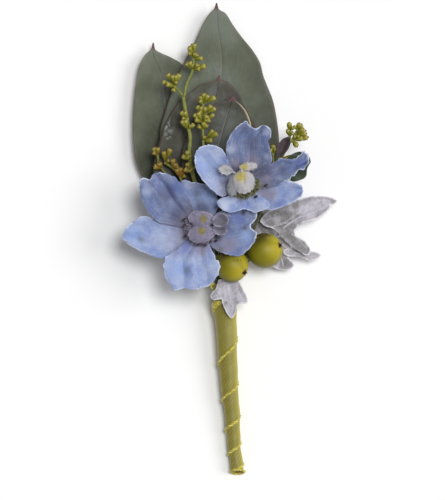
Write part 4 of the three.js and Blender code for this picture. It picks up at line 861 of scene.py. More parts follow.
MAIN_STEMS = [
    ([*collar("spray_main"), [-3.8, -8, 5.9], [-5.2, 0, 10.6], [-8.8, 11, 12.3], [-11.6, 20, 12.6],
      [-12.7, 27, 12.4], [-12.4, 31.3, 12], [-13.2, 36, 11.2], [-14.7, 44.8, 9.2]],
     lambda t: 0.68 - 0.14 * t, 60),
    ([[-14.4, 44, 9.3], [-13.6, 48.2, 8.8], [-11.5, 53.2, 8.4], [-11.5, 57.4, 8.8]], 0.42, 20),
    ([[-14.4, 44, 9.3], [-16, 46.4, 9.1], [-17.2, 47.6, 8.9]], 0.4, 10),
    ([[-11.9, 21, 12.6], [-8.6, 27, 12.9], [-8.4, 32, 12.4], [-8.6, 36.2, 11.6], [-8.4, 42, 11.4]],
     0.4, 26),
]
MAIN_UMBELS = [
    [[-11.5, 57.2, 8.8], [-11.9, 60.7], [-12.8, 59.9, 1.2], [-11.1, 60.9, 1.4]], [[-11.5, 56.4,
    8.6], [-8.5, 56.3], [-10.2, 57.8, 1.5]], [[-11.6, 52.9, 8.4], [-7.6, 54.1], [-9.3, 53.1, 1.4],
    [-13.8, 54.9, 0.9], [-12.7, 55.3, 1.6], [-9.9, 54.6, 2]], [[-17.2, 47.6, 8.9], [-19.5, 51.5],
    [-18, 51.1, 1.6], [-15.8, 51.5], [-21.1, 49], [-17.8, 46, 1.2], [-19.9, 48.3, 1.6], [-16.9, 51,
    2]], [[-8.4, 41.8, 11.4], [-9.1, 44.5], [-8.1, 45.3, 1.2], [-6.8, 44.8, 1.6], [-4.6, 44.2]],
    [[-8.5, 38.4, 11.6], [-10.3, 41.4], [-9, 41.2, 1.4], [-5.8, 41.6, 1.2], [-4.5, 40.7], [-7.6,
    41, 2]], [[-8.6, 36.2, 11.8], [-11.3, 38.8], [-10, 39.4, 1.2], [-7.1, 38.5, 1.8], [-5, 38.8,
    0.8], [-6.2, 37.2, 1.2], [-10.9, 37.1, 1.3]], [[-8.5, 34, 12], [-7.1, 35.6, 1.4], [-10.1, 35.3,
    1], [-8.2, 36.3, 1.9]], [[-13.2, 37.4, 11.1], [-15.3, 39.6], [-14.2, 39.6, 1.2]], [[-12.9, 34,
    11.7], [-15.1, 36.8], [-14, 37, 1.2], [-11.2, 35.8, 1.2]], [[-8.3, 30.4, 12.7], [-5.2, 33.8],
    [-3.9, 32.8, 0.8], [-5.4, 30.6, 1.2]], [[-12.6, 24.4, 12.5], [-13.4, 27.4, 0.9], [-14.9, 25.8,
    1], [-13.4, 25.6, 1.6]], [[-12, 20.6, 12.6], [-13.4, 23.6, 1.3], [-14.2, 21.8, 0.9], [-12.6,
    21.8, 1.9]],
]
LOW_STEMS = [
    ([*collar("spray_low"), [-5.4, -7, 6.2], [-10, 5, 10.6], [-13.5, 14, 11.2], [-16, 20, 10.8],
      [-18, 22.2, 10.6], [-20.2, 23.6, 10.3]], 0.4, 44),
    ([[-14.4, 16, 11], [-19, 19.4, 10.4], [-22, 23, 10.2], [-22.6, 26, 10]], 0.36, 20),
]
LOW_UMBELS = [
    [[-22.6, 26, 10], [-23.8, 28.5], [-22.5, 28.5, 1.1]], [[-20.2, 23.6, 10.3], [-20.7, 27.3, 1],
    [-18.6, 28.1]], [[-21.4, 22, 10.2], [-23.7, 22.6, 0.8], [-22.2, 23.8, 1.4]], [[-17.4, 21.6,
    10.7], [-17.8, 24.9, 1.2], [-16.8, 23.6, 1.6]], [[-15.4, 19, 10.9], [-16.6, 21.9, 1.3], [-14.4,
    21.8, 0.5], [-15.4, 22.2, 1.6]],
]
RIGHT_STEMS = [
    ([*collar("sprig_right"), [3.6, -8, 4.8], [8.2, 5, 7.8], [12.6, 17, 11.4], [14.6, 23.4, 12.5],
      [16.6, 28.2, 13], [19.4, 30.7, 13.6]], 0.4, 50),
    ([[18.9, 30.2, 13.5], [18.5, 32.2, 13.8], [18.5, 33.6, 14]], 0.34, 8),
    ([[19.4, 30.7, 13.6], [20, 32.4, 13.8], [21.2, 34.2, 14]], 0.34, 8),
    ([[13.6, 20, 12], [13.4, 25, 13], [13.3, 26.4, 13]], 0.3, 8),
]
RIGHT_UMBELS = [
    [[18.5, 33.6, 14], [18.4, 36.1]], [[18.5, 31.8, 13.8], [17.8, 34, 0.9]], [[21, 33.8, 14], [22.3,
    35.6], [21.5, 35.9, 1.2]], [[19.9, 32.1, 13.7], [23.5, 33.6], [22.8, 34.3, 1.4], [23.7, 32.7,
    1.1]], [[19.4, 30.7, 13.6], [24.2, 31.6], [20.9, 28.7], [22.7, 31.3, 1.1]], [[13.3, 26.4, 13],
    [13.4, 29.2], [14.4, 28.2, 0.9]], [[15.3, 25.5, 12.75], [18.8, 24.8, 1.3], [19.9, 25.3, 0.8]],
]


def small_leaf(grid, piece, name, light, dark, rough, node):
    body = Body()
    sheet(body, grid, SMALL_LEAF_THICK)
    paint = plain_paint(name, light, dark, rough, 1.0, Sheen_Weight=0.2)
    body.build("sprig_leaf_" + piece, [paint], [node])


def small_leaves():
    """Two small dark leaves beside the right sprig; the first is rolled along its length."""
    grid, u, v = patch([14.6, 25.7, 14.6, 28.2, 16, 30.7], [17.9, 31.7, 18.5, 31.4],
                       [16, 25.4, 17.6, 27.2, 18.7, 29.5], 30, 20)
    relief = 0.08 * crumple(grid[..., 0], grid[..., 1], 2, 3)
    grid[..., 2] = 14.15 + 0.4 * u + 1.3 * abs(v) ** 1.5 + relief
    small_leaf(grid, "purple", "leaf_purple", (78, 62, 64), (58, 46, 52), 0.55, "sprig_leaf_rolled")
    grid, u, v = patch([17, 22.4, 18.4, 25.6, 21, 27], [22.8, 26.9, 24.6, 25.4, 25, 23.8],
                       [17.6, 20, 19.1, 17.9, 21.6, 18.2, 23.5, 19.3, 23.9, 21.8], 34, 30)
    grid[..., 2] = 14.1 + 2.1 * u + 0.6 * v**2 - 0.2 * np.exp(-((v / 0.07) ** 2))
    grid[..., 2] += 0.12 * crumple(grid[..., 0], grid[..., 1], 3, 4)
    small_leaf(grid, "green", "leaf_bottle", (62, 76, 54), (46, 58, 44), 0.5, "sprig_leaf_broad")


# ---------------------------------------------------------------- delphinium florets
LEFT_HUB = np.array([-9.4, 3.4, 15.6])
RIGHT_HUB = np.array([4.1, 17.5, 19.6])
# A sepal: its left side, tip and right side in plan; the lift of its tip, its cup, its ruffle and
# its lap in the ring; its tone from pale to deep; folds as across, width and depth; painted spots
# as x, y and radius; then how nibbled its rim is, and which sides have no pale rim. Some spots are
# painted shade where petals overlap and painted shadow in the deepest gaps.
LEFT_SEPALS = [
    ([-11, 2.6, -17, 4, -22.5, 5.4, -24.6, 7.4, -26.3, 9.8, -27.5, 12.6], [-28.2, 15.9, -27.9, 18.3,
     -26.6, 18.9, -24.9, 18.4, -24, 19.8, -22.2, 20.5, -19.8, 20.3], [-9.4, 5.2, -12, 11, -14.4, 16,
     -17, 19], [0.8, 1.1, 0.35, 0.5], 0.75, [0.35, 0.12, -0.7, -0.25, 0.2, 0.35], {"pale": [-25.8,
     14.8, 2.2], "dusk": [-19.4, 13.4, 4.2, -16.4, 7.6, 3.6], "blush": [-16.6, 15, 3.4], "ash":
     [-13.2, 5.4, 3.4]}, 0.14, ["right"]),
    ([-10.8, 4.6, -13, 10, -15.4, 14.6], [-16, 17.4, -14.2, 18.2, -11.6, 17.7, -8.8, 17.2, -6, 15.8,
     -4.2, 13.4], [-7.6, 4.6, -4.8, 7.6, -3.6, 10.8], [-0.2, 0.7, 0.25, -0.4], 0.5, [-0.5, 0.2,
     -0.5], {"smudge": [-10.2, 14.4, 1.5], "blush": [-14.2, 14.6, 2.2], "sky": [-6.6, 13, 3.2],
     "pale": [-13, 16.6, 1.6], "dusk": [-9, 9.2, 3]}, 0.14, ["left", "right"]),
    ([-10.2, 1.6, -15, -3.8, -20.7, -6, -25.5, -4.7, -30, -2.6], [-32.3, -1.1, -33.5, 0.4, -33, 2.4,
     -30, 5.5], [-11, 4.6, -16, 5.2, -21.9, 5.2, -24, 6.2, -26.1, 7.1, -27.9, 6.8], [0.2, 0.9, 0.2,
     -0.3], 0.05, [0.1, 0.25, 0.35], {"pale": [-19.4, 0.4, 5, -16.2, 0.2, 2.8], "smudge": [-27.7,
     -0.2, 1.4], "ash": [-14, 2, 2], "sky": [-30, 1.6, 3.4]}),
    ([-7.8, 2.4, -6, -2.6, -4.4, -5.6, -3.2, -8.3], [-3.7, -10.9, -6, -13.9, -9, -15.4, -12, -15.8,
     -14.1, -15.1, -16.8, -16, -18.6, -14.3], [-11, 2.2, -15.8, -2.6, -20.2, -6, -20.6, -8.4, -20.1,
     -11.5], [1.7, 0.6, 0.35, 0.5], 0.05, [0.35, 0.1, -0.5, 0, 0.12, 0.3, -0.5, 0.1, -0.25],
     {"blush": [-14.3, -2.4, 3.2], "ash": [-9, -2.6, 3.2], "smudge": [-13.4, -9.8, 1.4], "pale":
     [-6.9, -10, 3.6, -15.4, -13.4, 2.6], "sky": [-16.5, -9.5, 3.4]}, 0.26),
    ([-8.4, 5.2, -3, 8.6, 3, 10.4], [7.6, 9.9, 8.4, 7, 6.3, 3.9, 8.2, 1.8, 7.5, -0.9], [-8.2, 1.8,
     -6.2, -2, -3.3, -4, -0.7, -4.9, 2.6, -5.4, 5.3, -3.7], [1.3, 0.9, 0.3, 0.2], 0.6, [0, 0.14,
     -0.45], {"hole": [-4.2, 0.4, 1.6, 4.1, 8.1, 1], "dusk": [-1.5, 3.6, 2.8], "blush": [2.5, 7,
     2.6], "ash": [-0.6, -2, 3.4], "olive": [-2.6, -3.4, 1.2, 4.4, 3.4, 0.8], "sky": [5, 0.6,
     2.6]}),
]
RIGHT_SEPALS = [
    ([2, 18.4, -0.4, 22.4, -1.3, 27.6, -0.8, 30, 0.5, 32.5, 2.4, 34.8], [4, 35.8, 5, 36.4, 6.4,
     34.7, 7.9, 34, 9.2, 34.8, 10.8, 35.2, 12.4, 34], [6, 18.6, 10.6, 20.6, 12.8, 23.8, 12.7, 26,
     12.1, 28.8, 11.7, 30.2, 12.8, 31.8], [1.2, 2.1, 0.4, -0.1], 0.9, [0.05, 0.12, -0.5, -0.4, 0.14,
     0.25, 0.5, 0.14, 0.25], {"dusk": [6.4, 29.4, 3, 4.6, 34, 2], "ash": [6.9, 24.6, 2.6, 1.6, 23.4,
     1.8], "pale": [0.2, 27.8, 1.8, 11.4, 33, 1.4, 11.4, 25.6, 1.4]}),
    ([2.2, 15.8, -2.5, 13, -5.5, 15.1, -7.8, 17.3, -9.8, 20.1], [-10.8, 22.6, -10.9, 24.9, -10.3,
     27.2, -8.8, 28.5, -6.5, 29, -4.3, 28.7], [2.8, 19, 0.4, 22, -1.2, 25.6, -2.5, 27.7], [0.6, 1.2,
     0.15, 0.5], 0, [-0.15, 0.2, -0.35], {"sky": [-8.4, 22.4, 3.4], "pale": [-3.8, 26.3, 2], "dusk":
     [-1.2, 17.4, 2.2], "olive": [0.6, 14.8, 1.4]}),
    ([6, 19.2, 9.6, 21.6, 12.9, 23.4, 15.9, 24.7, 19.2, 24.3, 21, 25.6], [22.9, 27.3, 24.2, 25.6,
     24.1, 23.3], [6.6, 16.6, 12.4, 16, 14.9, 16.9, 17.9, 18.2, 19.9, 19.6, 21.2, 21.2, 22.9, 21.6],
     [1.6, 2.2, 0.35, 0.5], 0.7, [-0.35, 0.16, 0.4], {"dusk": [20.4, 25.4, 1.6, 11, 21, 2.6, 16.2,
     21.2, 2.4], "blush": [22, 23.4, 2], "pale": [15.4, 18.4, 1.4], "ash": [11.6, 18.4, 1.8]},
     0.34),
    ([6.6, 17.4, 12.4, 17, 17.4, 17.7, 20.4, 17.3], [22.1, 16.4, 22.6, 15, 22.1, 13.5], [5.4, 14.8,
     9, 10, 12.4, 8.9, 16.2, 9.9, 18.7, 11, 20.9, 12.2], [0.4, 1.3, 0.25, -0.4], 0.2, [0.2, 0.2,
     0.3], {"blush": [22, 13.6, 1.5, 15.2, 10.4, 2], "ash": [11.6, 13.6, 3.4]}),
    ([6, 15.8, 9.4, 13.4], [12.4, 11.3, 12, 9.8, 9.9, 8.8, 7.9, 8.1, 5.4, 8.9, 4.1, 9.3, 2.6, 8.6,
     0.2, 8.1, -2.2, 8.8, -3.7, 10.2, -4.2, 11.6], [2.2, 15.8, 0.2, 13.6, -2.4, 12.7], [0.3, 0.5,
     0.3, 0.5], 0.1, [-0.1, 0.12, -0.4], {"milk": [-1.8, 10.2, 2.2], "blush": [4.2, 10.4, 2],
     "pale": [9.8, 10.4, 2], "hole": [4.1, 8.9, 0.6], "olive": [3.6, 13.2, 1.8]}, 0.14, ["left",
     "right"]),
]


def sepal(body, hub, seed, left, tip, right, form, tone, folds, spots, nibble=0.14, bare=()):
    lift, cup, ruffle, lap = form
    grid, u, v = patch(left, tip, right, 54, 54)
    x, y = grid[..., 0], grid[..., 1]
    rise = lift * u**2 + lap * np.minimum(1, 3 * u)
    ripple = ruffle * u**3 * np.cos(3 * math.pi * v)
    grid[..., 2] = hub[2] + rise + cup * v**2 * np.sin(math.pi * np.minimum(u, 0.8)) + ripple
    edge = rim_distance(grid)
    outer = smooth(u, 0.12, 0.5)
    for across, width, depth in np.reshape(folds, (-1, 3)):
        off = (v - across * (0.6 + 0.4 * u)) / width
        grid[..., 2] += depth * np.exp(-(off**2)) * outer * smooth(u, 1.05, 0.7)
    grid[..., 2] += 0.12 * crumple(x, y, 3.2, seed) * outer
    grid[..., 2] += 0.26 * crumple(x, y, 4.5, seed + 50) * smooth(edge, 3.2, 0) * outer
    grid[..., 2] += 0.035 * np.cos(22 * math.pi * v * (0.4 + 0.6 * u)) * outer
    marks = {k: blots(x, y, row, 2.6, seed + 9, 0.22, 1.25, 0.1) for k, row in spots.items()}
    # The rim is a little ragged in plan.
    for axis in (0, 1):
        ragged = nibble * crumple(x, y, 1.5, seed + 70 + axis)
        ragged = ragged + 0.1 * crumple(x, y, 0.7, seed + 80 + axis)
        grid[..., axis] += ragged * smooth(edge, 1.2, 0) * outer
    for name in bare:
        side = grid[:, :1] if name == "left" else grid[:, -1:]
        marks["bare"] = np.maximum(marks.get("bare", 0), smooth(gap(grid, side), 1.3, 0.7))
    sheet(body, grid, SEPAL_THICK, edge=edge, tone=tone, **marks)


def floret_sepals(side, hub, sepals, spur, seed):
    body = Body()
    for i, spec in enumerate(sepals):
        sepal(body, hub, seed + 11 * i, *spec)
    profile = [[0, -0.5], [1.6, -0.5], [2.7, -0.25], [3.0, 0.0], [2.7, 0.3], [1.6, 0.5], [0, 0.5]]
    lathe(body, profile, hub, UP, 40, edge=OFF_RIM, tone=0.7, along=0.1)
    reach = math.hypot(*spur)
    out = lambda far, drop: hub + [spur[0] * far / reach, spur[1] * far / reach, -drop]
    tube(body, [out(2.2, 0), out(2.8, 1.4), out(reach, 2.2)], lambda t: 1.0 - 0.55 * t, 16, 16,
         edge=OFF_RIM, tone=0.8, along=0.7)
    name = f"delphinium_{side}_bloom"
    body.build(name, [petal_paint(f"petal_{side}")], [f"delphinium_{side}_sepals"])


def floret_stalk(side, hub, bends):
    body = Body()
    seat = hub[2] - 0.85
    tube(body, [*collar("floret_" + side), *bends, [hub[0], hub[1], seat - 1.1]], 0.5, 10, 44)
    lathe(body, [[0.45, -1.5], [0.6, -1.2], [0.9, -0.6], [1.15, -0.1], [1.1, 0], [0, 0]],
          [hub[0], hub[1], seat], [0, 0, 1], 14)
    material = plain_paint(f"pedicel_{side}", (104, 110, 72), (84, 90, 58), 0.6, 1.2)
    name = f"delphinium_{side}_pedicel"
    body.build(name, [material], [f"delphinium_{side}_stalk"])


HAIR, FUZZ = 1, 2  # paints of an inner petal's body, after its skin
DARK, GREEN, PALE = 0, 1, 2  # paints of the stamens


def place_on(centre, turn):
    cos, sin = math.cos(turn), math.sin(turn)
    return lambda along, across: [centre[0] + along * cos - across * sin,
                                  centre[1] + along * sin + across * cos]


def inner_petal(body, claw, centre, size, dome, turn, spot, seed, grey, tucked):
    """A small petal of the floret's middle, domed or cupped, on a claw.

    spot is the place along and across it and the radius of its yellow spot.
    """
    length, width = size
    at = place_on(centre, turn)
    half = length / 2
    side = lambda sign: [at(-half, width * 0.18 * sign), at(-half * 0.4, width * 0.44 * sign)]
    ends = ((0.5, 0.46), (1, 0.16), (1, -0.16), (0.5, -0.46))
    tip = [at(half * far, width * across) for far, across in ends]
    grid, u, v = patch(side(1), tip, side(-1), 30, 30)
    x, y = grid[..., 0], grid[..., 1]
    grid[..., 2] = centre[2] + dome * (np.sin(math.pi * u) - v**2) + 0.1 * crumple(x, y, 1.8, seed)
    grid[..., 2] -= 0.18 * np.exp(-((v / 0.1) ** 2)) * np.sin(math.pi * u)
    grid[..., 2] += 0.12 * np.cos(5 * math.pi * v) * smooth(u, 0.6, 1)
    mark = np.zeros_like(x)
    if spot:
        sx, sy = at(*spot[:2])
        far = np.hypot(x - sx, y - sy) + 0.25 * crumple(x, y, 1.1, seed + 2)
        mark = smooth(far, 1.15 * spot[2], 0.25 * spot[2])
    edge = rim_distance(grid)
    for axis in (0, 1):
        ragged = 0.16 * crumple(x, y, 1.0, seed + 30 + axis)
        grid[..., axis] += ragged * smooth(edge, 0.9, 0) * smooth(u, 0, 0.3)
    # Greyer away from the rim: partly the petal's own grey, partly painted shade in its cup; a
    # tucked petal, shaded under the dome, is grey all over.
    hollow = 1.0 if tucked else grey * (0.25 + 0.75 * smooth(edge, 0.5, 1.5))
    sheet(body, grid, PETAL_THICK, edge=edge + OFF_RIM * tucked, spot=mark, grey=hollow)
    rx, ry = at(-half * 0.75, 0)
    bend = [(claw[0] + rx) / 2, (claw[1] + ry) / 2, centre[2] - 0.3 + dome * 0.1]
    root = [rx, ry, centre[2] + dome * 0.2]
    tube(body, [claw, bend, root], 0.36, 8, 8, edge=OFF_RIM, grey=grey)
    return grid


def beard(body, grid, count, middle, radius, height, seed):
    """A tuft of short hairs on a petal round a point in plan."""
    rng = np.random.default_rng(seed)
    flat = grid.reshape(-1, 3)
    for _ in range(count):
        angle, reach = rng.uniform(0, TAU), radius * math.sqrt(rng.uniform(0, 1))
        spot = np.array([middle[0] + reach * math.cos(angle), middle[1] + reach * math.sin(angle)])
        foot = flat[np.argmin(np.hypot(flat[:, 0] - spot[0], flat[:, 1] - spot[1]))].copy()
        foot[:2] = spot
        lean = np.array([*rng.uniform(-0.45, 0.45, 2), 1.0]) * height * rng.uniform(0.6, 1.1)
        bend = foot + lean * [0.4, 0.4, 0.6]
        tube(body, [foot, bend, foot + lean], lambda t: 0.085 * (1 - 0.75 * t), 4, 3, paint=HAIR)


def fringe(body, grid, count, length, seed):
    """Fine hairs that stand out from a petal's rim and rise from its face."""
    rng = np.random.default_rng(seed)
    rim = np.vstack([grid[8:, 0], grid[-1], grid[8:, -1]])
    middle = grid.mean(axis=(0, 1))
    for i in range(count):
        foot = rim[rng.integers(len(rim))] if i % 3 else grid[tuple(rng.integers(4, 27, 2))]
        out = unit(foot - middle) + [*rng.uniform(-0.4, 0.4, 2), rng.uniform(0.1, 0.7)]
        tip = foot + out * length * rng.uniform(0.5, 1.1)
        bend = (foot + tip) / 2 + [0, 0, 0.05]
        tube(body, [foot, bend, tip], lambda t: 0.07 * (1 - 0.7 * t), 4, 2, paint=FUZZ)


# A floret's middle: its pad as x, y and radius; its petals as centre, size, dome, turn and spot;
# its tufts as petal, count, middle, radius and height; its colours; its stamens' foot and anthers;
# which anthers are green; and its ring of young ones as middle, radius, first, last and size.
BEES = {
    "left": {
        "pad": [-7.4, 4.2, 1.5],
        "petals": [
            [[-8.8, 6.2, 0], (8, 4.9), 0.7, 0.97, (-0.6, 0, 1.5)],
            [[-8.8, 1.6, 0], (8, 5.9), 0.7, -0.95, (-0.2, -0.8, 1.6)],
            [[-2.9, 5.7, 0.2], (5, 4.5), -1.1, 0.08, None],
            [[-3.1, 2.7, 0], (4.4, 3.2), -0.9, -0.08, None],
        ],
        "beards": [[0, 60, (-8.2, 6.6), 1.2, 0.35], [1, 60, (-8.4, 2.5), 1.2, 0.35]],
        "paints": [(112, 107, 130), (136, 131, 154), (102, 101, 112), (130, 121, 68)],
        "hair": [(148, 138, 92), (130, 120, 84)], "slot": "petal_lavender",
        "fuzz": [(150, 142, 158), (120, 112, 130)], "filament": [(138, 130, 152), (106, 100, 120)],
        "stamens": [-11.1, 3.4, 0],
        "anthers": [[-14.3, 6, 1.6], [-14, 4.3, 1.9], [-13.9, 0.9, 1.7], [-12.6, 0.3, 1.5],
                    [-9.9, -1.7, 1.6], [-7.6, -1.9, 1.7], [-6.2, -0.9, 1.5], [-2.9, 1.5, 1.1],
                    [-4.4, -0.6, 1]],
        "green": [], "moss": [[-9, 3.6], 5, 1.9, 5.6, 0.45],
    },
    "right": {
        "pad": [3.6, 19.2, 1.4],
        "petals": [
            [[4.2, 17.6, 0], (7.1, 7.1), 1.0, -0.5, (-1.5, -0.8, 2.2)],
            [[5.5, 22.2, 0.2], (5.4, 2.6), 0.4, 0.03, (-1.3, 0, 1.7)],
            [[-1.3, 21.2, -1], (4, 3), -0.3, 0.94, None],
            [[1.5, 16.9, -0.9], (7, 4.4), 0.6, -0.6, None],
        ],
        "beards": [[0, 70, (3.4, 19.1), 1.6, 0.35], [1, 40, (4.2, 22.2), 1.0, 0.3]],
        "paints": [(158, 156, 162), (184, 181, 184), (134, 137, 144), (180, 168, 94)],
        "hair": [(188, 178, 116), (174, 162, 98)], "slot": "petal_cream",
        "fuzz": [(186, 184, 184), (150, 150, 148)], "filament": [(146, 146, 110), (104, 106, 70)],
        "stamens": [6.4, 16.6, 0.15],
        "anthers": [[8.6, 17.8, 1.7], [8.6, 15.2, 1.2], [8, 13, 1.3], [11, 16.5, 2.1],
                    [5.2, 12.7, 1.3], [1.9, 13.5, 1.4]],
        "green": [0, 1, 4, 5], "moss": [[4.2, 17.4], 4.1, -2.9, 0.3, 0.7],
    },
}


def bee(side, hub):
    """The floret's small inner petals, with tufts of short hairs on two of them."""
    spec = BEES[side]
    px, py, radius = spec["pad"]
    foot = hub[2] + 1.05
    body = Body()
    tube(body, [[px, py, foot], [px, py, foot + 1.4]], radius, 20, 4, edge=2.0, grey=1.0)
    claw = [px, py, foot + 0.7]
    grids = []
    for i, ((x, y, rise), size, dome, turn, spot) in enumerate(spec["petals"]):
        grey = 1.0 if i == 3 or (side == "left" and i == 2) else 0.35 if i == 2 else 0.0
        centre = [x, y, foot + 3 + rise]
        grids.append(inner_petal(body, claw, centre, size, dome, turn * math.pi, spot, i, grey,
                                 side == "right" and i == 3))
    for which, count, middle, wide, height in spec["beards"]:
        beard(body, grids[which], count, middle, wide, height, 20 + which)
    for i, grid in enumerate(grids):
        fringe(body, grid, 90, 0.5, 40 + i)
    paints = [bee_paint(f"bee_{side}", *spec["paints"])]
    for part in ("hair", "fuzz"):
        paints.append(plain_paint(f"bee_{part}_{side}", *spec[part], 0.7, 2.0))
    body.build(f"delphinium_{side}_bee", paints, [f"delphinium_{side}_petals"])


def stamens(side, hub):
    spec = BEES[side]
    x, y, lift = spec["stamens"]
    foot = np.array([x, y, hub[2] + 1.05 + lift])
    body = Body()
    tube(body, [foot, foot + [0, 0, 0.8]], 0.8, 14, 3, paint=PALE)
    rng = np.random.default_rng(8)
    heads = [(*spot, i not in spec["green"], 1.0) for i, spot in enumerate(spec["anthers"])]
    # Young stamens crowd round the rims of the petals.
    (mx, my), reach, first, last, young = spec["moss"]
    for angle in np.linspace(first, last, 46):
        far = reach * rng.uniform(0.88, 1.16)
        heads.append((mx + far * math.cos(angle), my + far * math.sin(angle),
                      rng.uniform(1.2, 2.2), rng.uniform() < 0.12, young))
    anther = [[0, -0.48], [0.22, -0.4], [0.34, -0.15], [0.36, 0.15], [0.24, 0.4], [0, 0.48]]
    start = foot + [0, 0, 0.5]
    for ax, ay, rise, ripe, size in heads:
        spot = np.array([ax, ay, foot[2] - lift + rise])
        for _ in range(3 if size == 1 else 1):
            end = foot + (spot - foot) * rng.uniform(0.6, 0.9) + [*rng.uniform(-0.9, 0.9, 2), 0.1]
            knee = foot + (end - foot) * [0.4, 0.4, 0.8]
            tube(body, [start, knee, end], lambda t: 0.14 - 0.08 * t, 6, 6, paint=PALE)
        knee = foot + (spot - foot) * [0.45, 0.45, 0.75]
        tube(body, [start, knee, spot], lambda t: 0.17 - 0.07 * t, 6, 8, paint=PALE)
        paint = DARK if ripe else PALE if size < 0.5 else GREEN
        for shift in (-0.2 * size, 0.2 * size):
            lean = [0.5 - shift, rng.uniform(-0.8, 0.8), 1.4]
            place = spot + [shift, shift * 0.6, 0]
            lathe(body, np.array(anther) * size, place, lean, 8, paint=paint)
    dark = plain_paint(f"anther_{side}", (66, 46, 50), (42, 30, 34), 0.75, 2.0)
    green = plain_paint(f"anther_green_{side}", (112, 110, 50), (70, 72, 32), 0.75, 2.0)
    pale = plain_paint(f"filament_{side}", *spec["filament"], 0.6, 2.0)
    body.build(f"delphinium_{side}_anthers", [dark, green, pale],
               [f"delphinium_{side}_stamens"])


# ---------------------------------------------------------------- berries
def berry(name, node, centre, radius, tip, dots, dull, material):
    body = Body()
    centre, axis = vec(centre), unit(vec(tip))
    side = unit(np.cross(axis, UP))
    other = np.cross(axis, side)
    angle = np.linspace(-math.pi / 2, math.pi / 2, 49)[:, None]
    along = np.linspace(0, 1, 49)[:, None]
    turn = circle(64)
    groove = (0.5 + 0.5 * np.cos(3 * turn)) ** 6
    wide = np.maximum(radius * np.cos(angle), 0) * (1 - 0.012 * groove * np.sin(math.pi * along))
    out = wide[..., None] * around(side, other, turn)
    grid = centre + axis * (radius * np.sin(angle))[..., None] + out
    mark = np.zeros(grid.shape[:2])
    for dx, dy, size in dots:
        up = math.sqrt(max(radius**2 - dx**2 - dy**2, 0.1))
        spot = centre + unit(np.array([dx, dy, up])) * radius
        mark = np.maximum(mark, smooth(gap(grid, spot), size, size * 0.5))
    far = gap(grid, centre + axis * radius) + 0.2 * np.cos(3 * turn)
    # Painted shadow: a soft zone round a point above the berry, where the petals' shadow falls.
    shade = smooth(gap(grid, vec(dull[:3])), dull[3], 0.3 * dull[3])
    rings(body, grid, groove=groove[None], dot=mark, along=along, style=smooth(far, 1.15, 0.7),
          dull=shade, east=0.3 * np.cos(turn)[None], north=0.3 * np.sin(turn)[None])
    for i in range(3):
        lean = 0.3 * (side * math.cos(i * 2.1) + other * math.sin(i * 2.1))
        foot = centre + axis * (radius - 0.3) + lean
        tube(body, [foot, foot + axis * 0.7, foot + axis * 1.0 + lean], lambda t: 0.36 - 0.26 * t,
             8, 6, style=1.0, along=1.0)
    body.build(name, [material], [node])


def berry_foot(centre, radius, tip, out=0.0):
    return vec(centre) - unit(vec(tip)) * (radius + 0.3 + out)


FRONT = ([0.6, -8.3, 12.2], 5.15, [0.76, -0.41, 0.5])
SIDE = ([10.9, -3.6, 9.9], 5.5, [0.84, 0.3, 0.46])


def berry_stalk():
    body = Body()
    tube(body, [*collar("berries"), [-3.3, -11, 6.9], [-4.3, -7.6, 7.7], berry_foot(*FRONT, 0.4)],
         0.42, 10, 30)
    tube(body, [[-2.7, -12.2, 6.5], [-1, -10.4, 6.7], [1.6, -9, 6.3], [4.2, -7.2, 6.9],
                berry_foot(*SIDE, 0.4)], 0.38, 10, 30)
    calyx = [[0.3, -1.0], [0.6, -0.9], [1.1, -0.5], [1.5, -0.2], [1.5, -0.05], [0, 0]]
    for spec in (FRONT, SIDE):
        lathe(body, calyx, berry_foot(*spec), spec[2], 20,
              lambda a, t: 1 + 0.25 * t * np.cos(5 * a))
    material = plain_paint("berry_stem", (150, 154, 62), (122, 130, 48), 0.5, 1.2)
    body.build("berry_stem", [material], ["berry_stalk"])


# ---------------------------------------------------------------- dusty miller
RIB = {"rib": 1.0, "edge": OFF_RIM}
